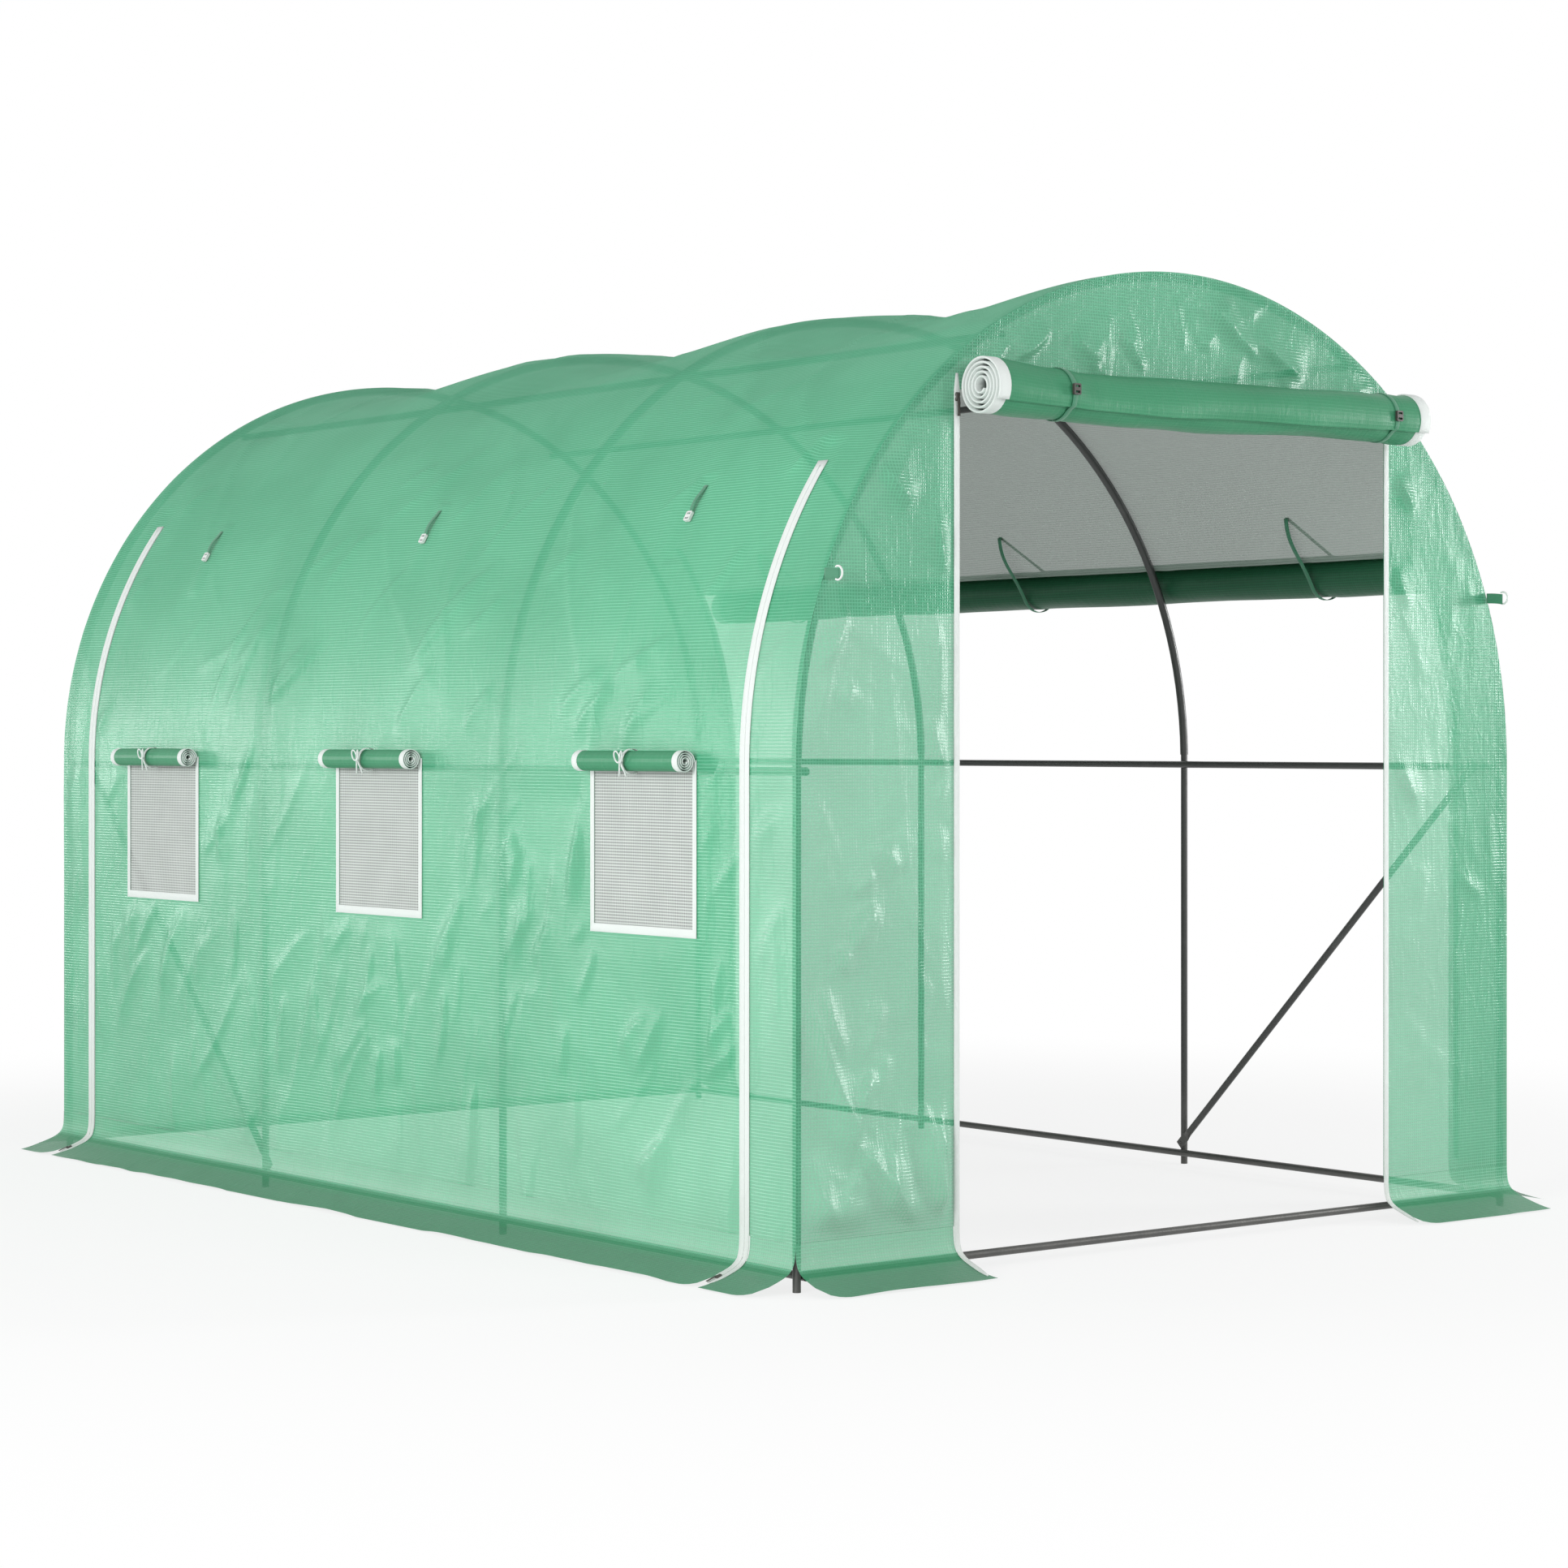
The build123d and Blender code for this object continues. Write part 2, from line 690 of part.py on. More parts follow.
os.makedirs("parts", exist_ok=True)
for name, shape in nodes.items():
    if isinstance(shape, list):
        shape = Compound(children=[solid for piece in shape for solid in piece.solids()])
    export_step(shape, f"parts/{name}.step")
print(len(nodes), "pieces written")
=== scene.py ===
# %% [markdown]
# # A walk-in polytunnel greenhouse
# The real thing is a frame of thin steel hoops with a cover of woven green film zipped over it.
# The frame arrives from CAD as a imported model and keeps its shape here. Everything made of cloth is
# built again as thin sheets, because a film lets light through and a solid doesn't.

# %% Load the fixed frame
import math

import bmesh
import bpy
import numpy as np
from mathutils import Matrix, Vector


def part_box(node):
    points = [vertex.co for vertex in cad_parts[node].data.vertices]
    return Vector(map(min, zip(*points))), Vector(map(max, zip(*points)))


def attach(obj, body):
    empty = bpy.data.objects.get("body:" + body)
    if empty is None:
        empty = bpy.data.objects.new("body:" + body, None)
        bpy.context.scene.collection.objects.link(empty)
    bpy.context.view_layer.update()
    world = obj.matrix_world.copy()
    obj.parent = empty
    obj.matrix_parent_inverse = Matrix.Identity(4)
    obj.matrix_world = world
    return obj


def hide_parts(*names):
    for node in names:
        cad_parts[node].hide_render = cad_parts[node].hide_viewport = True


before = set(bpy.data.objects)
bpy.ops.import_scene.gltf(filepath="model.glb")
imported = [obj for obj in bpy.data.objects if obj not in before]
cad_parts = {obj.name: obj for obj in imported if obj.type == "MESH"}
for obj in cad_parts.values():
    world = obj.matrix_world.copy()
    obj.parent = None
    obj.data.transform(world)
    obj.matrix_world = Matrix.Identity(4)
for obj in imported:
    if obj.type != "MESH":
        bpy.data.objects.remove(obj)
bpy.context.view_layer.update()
scene = bpy.context.scene
scene.view_settings.view_transform = "Standard"

# %% [markdown]
# ## The camera
# The photograph was taken at eye level, level with the floor, with a long lens from the front left
# corner. A camera could be dragged into place by eye. Here its place was solved from the feet of
# the hoops, the rails and the doorway, so the model lands on the photograph by itself.

# %% Camera
eye_at = (-5.0462, -6.6152, 1.0276)
eye_turn = math.radians(-38.1)
focal_length, shift_down = 80.68, -0.0276
lens_data = bpy.data.cameras.new("photo_camera")
lens_data.sensor_width = 36.0
lens_data.lens = focal_length
lens_data.shift_y = shift_down
lens_data.clip_end = 200.0
camera = bpy.data.objects.new("photo_camera", lens_data)
scene.collection.objects.link(camera)
camera.location = eye_at
camera.rotation_euler = (math.radians(90), 0, eye_turn)
scene.camera = camera
print("camera at", list(camera.location))

# %% [markdown]
# ## The studio
# The tunnel stands on plain white. A white backdrop could be lit until it burns out, but then the
# film would burn out with it. So the world and the floor are white only where the camera, a mirror
# or a glass looks at them, and the lamps stay at a level where a colour looks as it is written.


# %% Node helpers
def link(tree, source, target):
    tree.links.new(source, target)


def put(tree, socket, value):
    """Links value to the socket if it is a socket itself, and sets it if it is a number or colour."""
    if isinstance(value, bpy.types.NodeSocket):
        link(tree, value, socket)
    else:
        socket.default_value = value


def node(tree, kind, **settings):
    """A new shader node. i0, i1 and so on name its inputs by number, other names by their label."""
    made = tree.nodes.new(kind)
    for name, value in settings.items():
        if hasattr(made, name) and name not in made.inputs:
            setattr(made, name, value)
        else:
            numbered = name[0] == "i" and name[1:].isdigit()
            put(tree, made.inputs[int(name[1:]) if numbered else name], value)
    return made


def maths(tree, operation, first, second=0.0, third=0.0):
    """The result socket of one sum."""
    return node(tree, "ShaderNodeMath", operation=operation, i0=first, i1=second, i2=third).outputs[0]


def ramp(tree, value, low, high, to_low=0.0, to_high=1.0):
    """value stretched from low..high to to_low..to_high, eased at both ends."""
    made = node(tree, "ShaderNodeMapRange", interpolation_type="SMOOTHSTEP")
    for index, number in enumerate((value, low, high, to_low, to_high)):
        put(tree, made.inputs[index], number)
    return made.outputs[0]


def blend(tree, share, first, second):
    """A mix of two colours. Each may be a socket or four numbers."""
    made = node(tree, "ShaderNodeMix", data_type="RGBA")
    for index, value in ((0, share), (6, first), (7, second)):
        put(tree, made.inputs[index], value)
    return made.outputs[2]


def darker(colour, share):
    """The same colour with less light in it."""
    return tuple(share * c for c in colour[:3]) + (1,)


# %% World and lamps
seen_strength = 1.0
world_light = 0.50
world = bpy.data.worlds.new("studio")
scene.world = world
world.use_nodes = True
sky = world.node_tree
sky.nodes.clear()
path = node(sky, "ShaderNodeLightPath")
looked_at = maths(sky, "MAXIMUM", path.outputs["Is Camera Ray"], path.outputs["Is Glossy Ray"])
looked_at = maths(sky, "MAXIMUM", looked_at, path.outputs["Is Transmission Ray"])
strength = maths(sky, "MULTIPLY_ADD", looked_at, seen_strength - world_light, world_light)
backdrop = node(sky, "ShaderNodeBackground", Color=(1, 1, 1, 1), Strength=strength)
link(sky, backdrop.outputs[0], node(sky, "ShaderNodeOutputWorld").inputs[0])


def lamp(name, place, aim, size, power):
    """A square soft box that faces a point."""
    data = bpy.data.lights.new(name, "AREA")
    data.size = size
    data.energy = power
    made = bpy.data.objects.new(name, data)
    scene.collection.objects.link(made)
    made.location = place
    made.rotation_euler = (Vector(aim) - Vector(place)).to_track_quat("-Z", "Y").to_euler()
    return made


lamp("key_lamp", (-8.0, -3.4, 2.4), (0, 0, 0.8), 3.0, 350)
lamp("front_lamp", (1.5, -8.0, 2.8), (0, -1.0, 0.9), 2.4, 100)
lamp("glint_lamp", (6.7, -4.2, 1.9), (-0.5, -1.4, 0.6), 1.4, 250)
lamp("sheen_lamp", (-9.4, 8.4, 1.8), (-1.0, 0.2, 0.7), 2.4, 215)
lamp("back_lamp", (-5.2, 9.6, 1.8), (-1.0, 0.2, 0.9), 1.8, 115)

# %% Floor
floor_radius = 60.0
floor_mesh = bpy.data.meshes.new("floor")
floor_mesh.from_pydata(
    [(x * floor_radius, y * floor_radius, -0.0005) for x, y in ((-1, -1), (1, -1), (1, 1), (-1, 1))],
    [], [(0, 1, 2, 3)],
)
floor = bpy.data.objects.new("floor", floor_mesh)
scene.collection.objects.link(floor)
floor_paint = bpy.data.materials.new("studio_floor")
floor_paint.use_nodes = True
tree = floor_paint.node_tree
tree.nodes.clear()
where = node(tree, "ShaderNodeTexCoord").outputs["Object"]
distance = node(tree, "ShaderNodeVectorMath", operation="LENGTH", i0=where).outputs["Value"]
far = ramp(tree, distance, 1.9, 4.2)
path = node(tree, "ShaderNodeLightPath")
looked_at = maths(tree, "MAXIMUM", path.outputs["Is Camera Ray"], path.outputs["Is Glossy Ray"])
white_share = maths(tree, "MULTIPLY", looked_at, maths(tree, "MULTIPLY_ADD", far, 0.2, 0.8))
matt = node(tree, "ShaderNodeBsdfDiffuse", Color=(0.9, 0.9, 0.9, 1))
glow = node(tree, "ShaderNodeEmission", Color=(1, 1, 1, 1), Strength=1.0)
both = node(tree, "ShaderNodeMixShader", Fac=white_share, i1=matt.outputs[0], i2=glow.outputs[0])
link(tree, both.outputs[0], node(tree, "ShaderNodeOutputMaterial").inputs[0])
floor_mesh.materials.append(floor_paint)
print("studio ready")

# %% [markdown]
# ## What the finishes share
# The cover is a scrim of flat threads between two skins of film. Up close it is a grid of pale
# lines a few millimetres apart, and from further off it is a faint ruling. It is never smooth: it
# was folded small in its box, and the creases stay. Three effects come back in many finishes, so
# each is a node group: the grid, the creases, and the dust that gathers near the ground.


# %% Shared node groups
def group(name, inputs, outputs):
    """An empty shader node group with its sockets, and its input and output nodes."""
    made = bpy.data.node_groups.new(name, "ShaderNodeTree")
    for label, kind, value in inputs:
        socket = made.interface.new_socket(label, in_out="INPUT", socket_type=kind)
        if value is not None:
            socket.default_value = value
    for label, kind in outputs:
        made.interface.new_socket(label, in_out="OUTPUT", socket_type=kind)
    return made, made.nodes.new("NodeGroupInput"), made.nodes.new("NodeGroupOutput")


VALUE, VECTOR = "NodeSocketFloat", "NodeSocketVector"


def thread_row(tree, along, pitch, sharpness):
    """Lines across one direction of the cloth, as a mask from 0 between threads to 1 on one."""
    turn = maths(tree, "MULTIPLY", maths(tree, "DIVIDE", along, pitch), math.tau)
    wave = maths(tree, "MULTIPLY_ADD", maths(tree, "COSINE", turn), 0.5, 0.5)
    return maths(tree, "POWER", wave, sharpness)


woven_grid, taken, given = group(
    "woven_grid",
    [("Flat", VECTOR, None), ("Pitch", VALUE, 0.0065), ("Sharpness", VALUE, 3.0),
     ("Upright share", VALUE, 0.6)],
    [("Thread", VALUE), ("Crossing", VALUE)],
)
flat = node(woven_grid, "ShaderNodeSeparateXYZ", i0=taken.outputs["Flat"])
pitch, sharp = taken.outputs["Pitch"], taken.outputs["Sharpness"]
level_row = thread_row(woven_grid, flat.outputs["Y"], pitch, sharp)
upright_row = thread_row(woven_grid, flat.outputs["X"], pitch, sharp)
upright_row = maths(woven_grid, "MULTIPLY", upright_row, taken.outputs["Upright share"])
link(woven_grid, maths(woven_grid, "MAXIMUM", level_row, upright_row), given.inputs["Thread"])
link(woven_grid, maths(woven_grid, "MULTIPLY", level_row, upright_row), given.inputs["Crossing"])

film_creases, taken, given = group(
    "film_creases",
    [("Flat", VECTOR, None), ("Size", VALUE, 1.0)],
    [("Height", VALUE), ("Shade", VALUE)],
)
crease_layers = []
for lean, stretch, scale in ((12, 0.22, 9.0), (-38, 0.3, 12.0), (64, 0.5, 17.0)):
    turned = node(
        film_creases, "ShaderNodeMapping", Vector=taken.outputs["Flat"],
        Rotation=(0, 0, math.radians(lean)), Scale=(1.0, stretch, 1.0),
    )
    cloud = node(
        film_creases, "ShaderNodeTexNoise", Vector=turned.outputs[0], Detail=3.0, Roughness=0.6,
        Scale=maths(film_creases, "MULTIPLY", taken.outputs["Size"], scale),
    )
    away = maths(film_creases, "ABSOLUTE", maths(film_creases, "SUBTRACT", cloud.outputs[0], 0.5))
    crease_layers.append(ramp(film_creases, away, 0.0, 0.06, 1.0, 0.0))
height = maths(film_creases, "MAXIMUM", crease_layers[0], crease_layers[1])
height = maths(film_creases, "MULTIPLY_ADD", crease_layers[2], 0.5, height)
cloud = node(film_creases, "ShaderNodeTexNoise", Vector=taken.outputs["Flat"], Scale=3.0, Detail=2.0)
link(film_creases, height, given.inputs["Height"])
link(film_creases, cloud.outputs[0], given.inputs["Shade"])

ground_dust, taken, given = group(
    "ground_dust",
    [("Place", VECTOR, None), ("Reach", VALUE, 0.12)],
    [("Dust", VALUE)],
)
rise = node(ground_dust, "ShaderNodeSeparateXYZ", i0=taken.outputs["Place"]).outputs["Z"]
specks = node(
    ground_dust, "ShaderNodeTexNoise", Vector=taken.outputs["Place"], Scale=26.0, Detail=5.0
)
near = maths(ground_dust, "SUBTRACT", 1.0, maths(ground_dust, "DIVIDE", rise, taken.outputs["Reach"]))
near = node(ground_dust, "ShaderNodeMath", operation="MULTIPLY", i0=near, i1=specks.outputs[0])
near.use_clamp = True
link(ground_dust, near.outputs[0], given.inputs["Dust"])
print("node groups:", [g.name for g in bpy.data.node_groups])


# %% [markdown]
# ## The cover film
# Film over a thread grid does three things with light. About a sixth goes straight through, so the
# hoops and rails show as dark lines. Some is scattered to the far side, so the wall glows with the
# light behind it. The rest comes back green, with a shine. One Principled shader with Alpha does
# the first and the last, and a Translucent shader beside it does the glow. The inner face is
# greyer than the outer one, which Geometry's Backfacing tells apart.


# %% Cover film
def finish(name):
    """A new material: its tree, its place on the flat cut and its place in the room."""
    made = bpy.data.materials.new(name)
    made.use_nodes = True
    tree = made.node_tree
    tree.nodes.clear()
    cut = node(tree, "ShaderNodeUVMap", uv_map="flat").outputs[0]
    place = node(tree, "ShaderNodeTexCoord").outputs["Object"]
    return made, tree, cut, place


def use_group(tree, shared, **settings):
    """The outputs of a shared group, placed in this material with its own settings."""
    made = node(tree, "ShaderNodeGroup", node_tree=shared)
    for name, value in settings.items():
        put(tree, made.inputs[name.replace("_", " ")], value)
    return made.outputs


def output(tree, shader):
    link(tree, shader.outputs[0], node(tree, "ShaderNodeOutputMaterial").inputs[0])


def film(name, outer, thread, inner, see_through, glow_share, rough, gloss, upright, bump=1.0,
         flap=None, dull=0.0):
    """Woven film. outer, thread and inner are colours, see_through is the share let straight by.

    glow_share is what it scatters to the far side, and upright how plain its upright threads are.
    flap, if given, is a colour for cloth that lies on the ground, beyond the bend of a skirt, made
    darker as painted shade, with a band of painted shade along the bend. dull is how much rougher the
    film is on the roof, where rain and sun have taken its shine.
    """
    made, tree, cut, place = finish(name)
    grid = use_group(tree, woven_grid, Flat=cut, Upright_share=upright)
    fold = use_group(tree, film_creases, Flat=cut)
    dust = use_group(tree, ground_dust, Place=place)["Dust"]
    colour = blend(tree, grid["Thread"], outer, thread)
    uneven = ramp(tree, fold["Shade"], 0.42, 0.62, 0.0, 0.35)
    colour = blend(tree, uneven, colour, darker(outer, 0.86))
    behind = node(tree, "ShaderNodeNewGeometry").outputs["Backfacing"]
    lining = blend(tree, grid["Thread"], darker(inner, 0.72), inner)
    colour = blend(tree, behind, colour, lining)
    colour = blend(tree, maths(tree, "MULTIPLY", dust, 0.35), colour, soil)
    alpha = ramp(tree, grid["Thread"], 0.0, 1.0, 1 - see_through * 1.25, 1 - see_through * 0.55)
    if flap:
        # Beyond the skirt's bend the colour is painted shade: a darker green where the cloth lies on
        # the floor, and a darker band along the bend itself.
        down = node(tree, "ShaderNodeSeparateXYZ", i0=cut).outputs["Y"]
        laid = ramp(tree, down, 0.050, 0.062)
        bend = maths(tree, "MULTIPLY", laid, ramp(tree, down, 0.074, 0.094, 1.0, 0.0))
        ground = blend(tree, grid["Thread"], darker(flap, 0.85), flap)
        ground = blend(tree, maths(tree, "MULTIPLY", bend, 0.55), ground, bend_shade_green)
        colour = blend(tree, laid, colour, ground)
        alpha = ramp(tree, laid, 0.0, 1.0, alpha, 0.93)
    relief = maths(tree, "MULTIPLY_ADD", fold["Height"], 1.4, grid["Thread"])
    bumped = node(tree, "ShaderNodeBump", Strength=0.55 * bump, Distance=0.0005, Height=relief)
    rise = node(tree, "ShaderNodeSeparateXYZ", i0=place).outputs["Z"]
    roughness = ramp(tree, rise, dull_from, dull_to, rough, rough + dull)
    roughness = maths(tree, "MULTIPLY_ADD", fold["Shade"], 0.08, roughness)
    body = node(
        tree, "ShaderNodeBsdfPrincipled", Roughness=roughness, Alpha=alpha, Normal=bumped.outputs[0],
    )
    body.inputs["Specular IOR Level"].default_value = gloss
    link(tree, colour, body.inputs["Base Color"])
    glow = node(tree, "ShaderNodeBsdfTranslucent", Color=colour, Normal=bumped.outputs[0])
    output(tree, node(
        tree, "ShaderNodeMixShader", Fac=glow_share, i1=body.outputs[0], i2=glow.outputs[0]
    ))
    return made


soil = (0.36, 0.33, 0.28, 1)
dull_from, dull_to = 1.0, 1.65      # the height over which the film loses its shine
cover_green = (0.088, 0.455, 0.245, 1)
cover_thread = (0.17, 0.58, 0.355, 1)
cover_inner = (0.31, 0.385, 0.34, 1)
# The skirt's colours on the ground and at its bend are painted shade: darker where the cloth lies on
# the floor, and darker again in a band along the bend.
shaded_flap_green, bend_shade_green = (0.088, 0.31, 0.175, 1), (0.05, 0.30, 0.145, 1)
wall_film = film(
    "wall_film", cover_green, cover_thread, cover_inner, see_through=0.17, glow_share=0.12,
    rough=0.22, gloss=0.36, upright=0.25, dull=0.5,
)
end_film = film(
    "end_film", cover_green, cover_thread, cover_inner, see_through=0.25, glow_share=0.16,
    rough=0.22, gloss=0.36, upright=0.8,
)
skirt_film = film(
    "skirt_film", cover_green, cover_thread, cover_inner, see_through=0.20, glow_share=0.12,
    rough=0.38, gloss=0.25, upright=0.6, flap=shaded_flap_green,
)
roll_film = film(
    "roll_film", (0.05, 0.27, 0.135, 1), (0.06, 0.30, 0.155, 1), (0.03, 0.16, 0.08, 1),
    see_through=0.02, glow_share=0.06, rough=0.40, gloss=0.28, upright=0.5, bump=0.8,
)
print("film finishes:", [m.name for m in bpy.data.materials])

# %% [markdown]
# ## The trim
# The zips and window borders are white polyester tape with a fine rib. The straps are a narrow green
# webbing with a coarser one. The buckles and hooks are small mouldings and bent wire. The tubes are
# steel with a dark grey coat, a little worn in patches. A photograph of each could be wrapped round
# it, but noise and the shared grid give the same marks at any size.


# %% Tape, webbing and plastic
def cloth_tape(name, pale, shadow, pitch):
    """Woven tape: a fine rib, with dust near the ground."""
    made, tree, cut, place = finish(name)
    rib = use_group(tree, woven_grid, Flat=cut, Pitch=pitch, Sharpness=1.5, Upright_share=0.9)
    dust = use_group(tree, ground_dust, Place=place, Reach=0.3)["Dust"]
    colour = blend(tree, rib["Thread"], shadow, pale)
    colour = blend(tree, maths(tree, "MULTIPLY", dust, 0.4), colour, (0.42, 0.40, 0.35, 1))
    bumped = node(tree, "ShaderNodeBump", Strength=0.5, Distance=0.0004, Height=rib["Thread"])
    body = node(tree, "ShaderNodeBsdfPrincipled", Roughness=0.7, Normal=bumped.outputs[0])
    link(tree, colour, body.inputs["Base Color"])
    body.inputs["Sheen Weight"].default_value = 0.2
    output(tree, body)
    return made


white_tape = cloth_tape("white_tape", (0.80, 0.84, 0.82, 1), (0.66, 0.72, 0.69, 1), 0.0012)
green_webbing = cloth_tape("green_webbing", (0.06, 0.27, 0.15, 1), (0.03, 0.16, 0.085, 1), 0.0016)


def moulded(name, colour, wear, rough, grain, metal=0.0):
    """A hard finish: a fine grain in its bump and roughness, and slightly paler worn patches."""
    made, tree, cut, place = finish(name)
    speckle = node(tree, "ShaderNodeTexNoise", Vector=place, Scale=grain, Detail=4.0).outputs[0]
    patch = node(tree, "ShaderNodeTexNoise", Vector=place, Scale=9.0, Detail=6.0).outputs[0]
    worn = ramp(tree, patch, 0.62, 0.74, 0.0, 0.35)
    dust = use_group(tree, ground_dust, Place=place, Reach=0.2)["Dust"]
    tone = blend(tree, speckle, darker(colour, 0.85), colour)
    tone = blend(tree, worn, tone, wear)
    tone = blend(tree, maths(tree, "MULTIPLY", dust, 0.25), tone, (0.3, 0.28, 0.25, 1))
    bumped = node(tree, "ShaderNodeBump", Strength=0.25, Distance=0.0002, Height=speckle)
    body = node(
        tree, "ShaderNodeBsdfPrincipled", Metallic=metal, Normal=bumped.outputs[0],
        Roughness=ramp(tree, speckle, 0.3, 0.7, rough - 0.06, rough + 0.08),
    )
    link(tree, tone, body.inputs["Base Color"])
    output(tree, body)
    return made


tube_coat = moulded(
    "tube_coat", (0.072, 0.075, 0.073, 1), (0.12, 0.123, 0.121, 1), rough=0.34, grain=300.0, metal=0.4
)
dark_plastic = moulded(
    "dark_plastic", (0.045, 0.04, 0.034, 1), (0.05, 0.05, 0.05, 1), rough=0.42, grain=500.0
)
white_plastic = moulded(
    "white_plastic", (0.76, 0.79, 0.77, 1), (0.68, 0.7, 0.68, 1), rough=0.4, grain=500.0
)


# %% Window net
def insect_net(name, pitch):
    """Knitted white net: threads where the grid is, open between them."""
    made, tree, cut, place = finish(name)
    grid = use_group(tree, woven_grid, Flat=cut, Pitch=pitch, Sharpness=1.2, Upright_share=0.85)
    patch = node(tree, "ShaderNodeTexNoise", Vector=place, Scale=14.0, Detail=3.0).outputs[0]
    colour = blend(tree, ramp(tree, patch, 0.3, 0.7), (0.54, 0.58, 0.55, 1), (0.61, 0.65, 0.62, 1))
    colour = blend(tree, grid["Crossing"], colour, (0.8, 0.84, 0.82, 1))
    colour = blend(tree, grid["Thread"], (0.29, 0.31, 0.30, 1), colour)
    bumped = node(tree, "ShaderNodeBump", Strength=0.5, Distance=0.0005, Height=grid["Thread"])
    body = node(
        tree, "ShaderNodeBsdfPrincipled", Roughness=0.7, Normal=bumped.outputs[0],
        Alpha=ramp(tree, grid["Thread"], 0.0, 0.7, 0.35, 0.97),
    )
    link(tree, colour, body.inputs["Base Color"])
    glow = node(tree, "ShaderNodeBsdfTranslucent", Color=colour)
    output(tree, node(tree, "ShaderNodeMixShader", Fac=0.25, i1=body.outputs[0], i2=glow.outputs[0]))
    return made


net_finish = insect_net("insect_net", 0.0060)
print("finishes:", len(bpy.data.materials))

# %% [markdown]
# ## Two ways to make cloth
# A sheet is a net of points that knows its flat cut: each point has its place in space and its
# place on the cloth before it was hung. The flat place becomes the UV map, so the weave keeps its
# true size round every bend. Tapes, straps and hems are a small section swept along a line.


# %% Mesh helpers
def piece(name, mesh, material, slot_name, *nodes):
    """Puts a finished mesh in the scene as a piece of the object."""
    made = bpy.data.objects.new(name, mesh)
    scene.collection.objects.link(made)
    mesh.materials.append(material)
    mesh.polygons.foreach_set("use_smooth", [True] * len(mesh.polygons))
    mesh.update()
    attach(made, "root")
    if nodes:
        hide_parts(*nodes)
    return made


def mesh_of(name, points, faces, flats, closed=False):
    """A mesh with a UV map named flat, in metres, with doubled points joined.

    A closed one has its faces turned outwards.
    """
    mesh = bpy.data.meshes.new(name)
    mesh.from_pydata(points, [], faces)
    layer = mesh.uv_layers.new(name="flat")
    corners = np.empty(len(mesh.loops), int)
    mesh.loops.foreach_get("vertex_index", corners)
    layer.data.foreach_set("uv", np.asarray(flats, float)[corners].ravel())
    work = bmesh.new()
    work.from_mesh(mesh)
    bmesh.ops.remove_doubles(work, verts=work.verts, dist=2e-5)
    bmesh.ops.dissolve_degenerate(work, edges=work.edges, dist=1e-6)
    if closed:
        bmesh.ops.recalc_face_normals(work, faces=work.faces)
    work.to_mesh(mesh)
    work.free()
    return mesh


def grid_mesh(name, points, flats, keep=None, flip=False):
    """A sheet from rows of points. keep says which of its squares are cloth."""
    rows, columns = points.shape[:2]
    index = np.arange(rows * columns).reshape(rows, columns)
    faces = np.stack([index[:-1, :-1], index[1:, :-1], index[1:, 1:], index[:-1, 1:]], -1)
    faces = faces.reshape(-1, 4) if keep is None else faces[keep]
    if flip:
        faces = faces[:, ::-1]
    used, faces = np.unique(faces, return_inverse=True)
    return mesh_of(
        name, points.reshape(-1, 3)[used].tolist(), faces.reshape(-1, 4).tolist(),
        flats.reshape(-1, 2)[used],
    )


def cut_size(mesh):
    """The flat cut's width, length and area, from the UV map."""
    uv = np.empty(len(mesh.loops) * 2)
    mesh.uv_layers["flat"].data.foreach_get("uv", uv)
    uv = uv.reshape(-1, 2)
    area = 0.0
    for face in mesh.polygons:
        ring = uv[list(face.loop_indices)]
        turned = np.roll(ring, -1, 0)
        area += abs((ring[:, 0] * turned[:, 1] - ring[:, 1] * turned[:, 0]).sum()) / 2
    return [float(v) for v in np.ptp(uv, 0)], float(area)


def cloth_piece(name, mesh, material, held, rests_on, *nodes):
    """A sheet put in the scene as a piece of the object. Its flat size is read from its own cut."""
    made = piece(name, mesh, material, "cover_cloth", *nodes)
    flat_size, area = cut_size(mesh)
    area = min(area, flat_size[0] * flat_size[1])
    wide, tall = flat_size
    print(f"{name}: cut {wide:.3f} x {tall:.3f} m, {area:.3f} m2, {len(mesh.polygons)} faces")


def runs(line):
    """How far along a line each of its points lies."""
    return np.concatenate([[0], np.cumsum(np.linalg.norm(np.diff(line, axis=0), axis=1))])


def headings(line):
    """The way ahead at each point of a line, as unit vectors."""
    ahead = np.gradient(line, axis=0)
    return ahead / np.linalg.norm(ahead, axis=1)[:, None]


def turn_out(mesh, outward):
    """Turns a sheet's front face to the outside."""
    if sum(face.normal.dot(Vector(outward)) for face in mesh.polygons) < 0:
        mesh.flip_normals()


def swept_mesh(name, line, across, out, section, closed=False, widths=None):
    """A section swept along a line. across and out are its two axes, for all points or for each.

    closed joins the line's end to its start. widths, if given, makes the section narrower or wider
    from point to point.
    """
    line, section = np.asarray(line, float), np.asarray(section, float)
    across, out = (np.broadcast_to(np.asarray(axis, float), line.shape) for axis in (across, out))
    if widths is not None:
        across = across * np.asarray(widths, float)[:, None]
    count, ring = len(line), len(section)
    points = (
        line[:, None] + section[None, :, :1] * across[:, None] + section[None, :, 1:] * out[:, None]
    ).reshape(-1, 3)
    flats = np.stack([np.tile(runs(section), count), np.repeat(runs(line), ring)], 1)
    faces = []
    for step in range(count if closed else count - 1):
        near, far = step * ring, (step + 1) % count * ring
        for corner in range(ring):
            beside = (corner + 1) % ring
            faces.append((near + corner, near + beside, far + beside, far + corner))
    if not closed:
        faces += [tuple(range(ring))[::-1], tuple(range((count - 1) * ring, count * ring))]
    return mesh_of(name, points.tolist(), faces, flats, closed=True)


def strip(name, line, across, out, section, material, slot_name, *nodes, **shape):
    """A tape, strap or cord: a section swept along a line, as a finished piece."""
    mesh = swept_mesh(name, line, across, out, section, **shape)
    return piece(name, mesh, material, slot_name, *nodes)


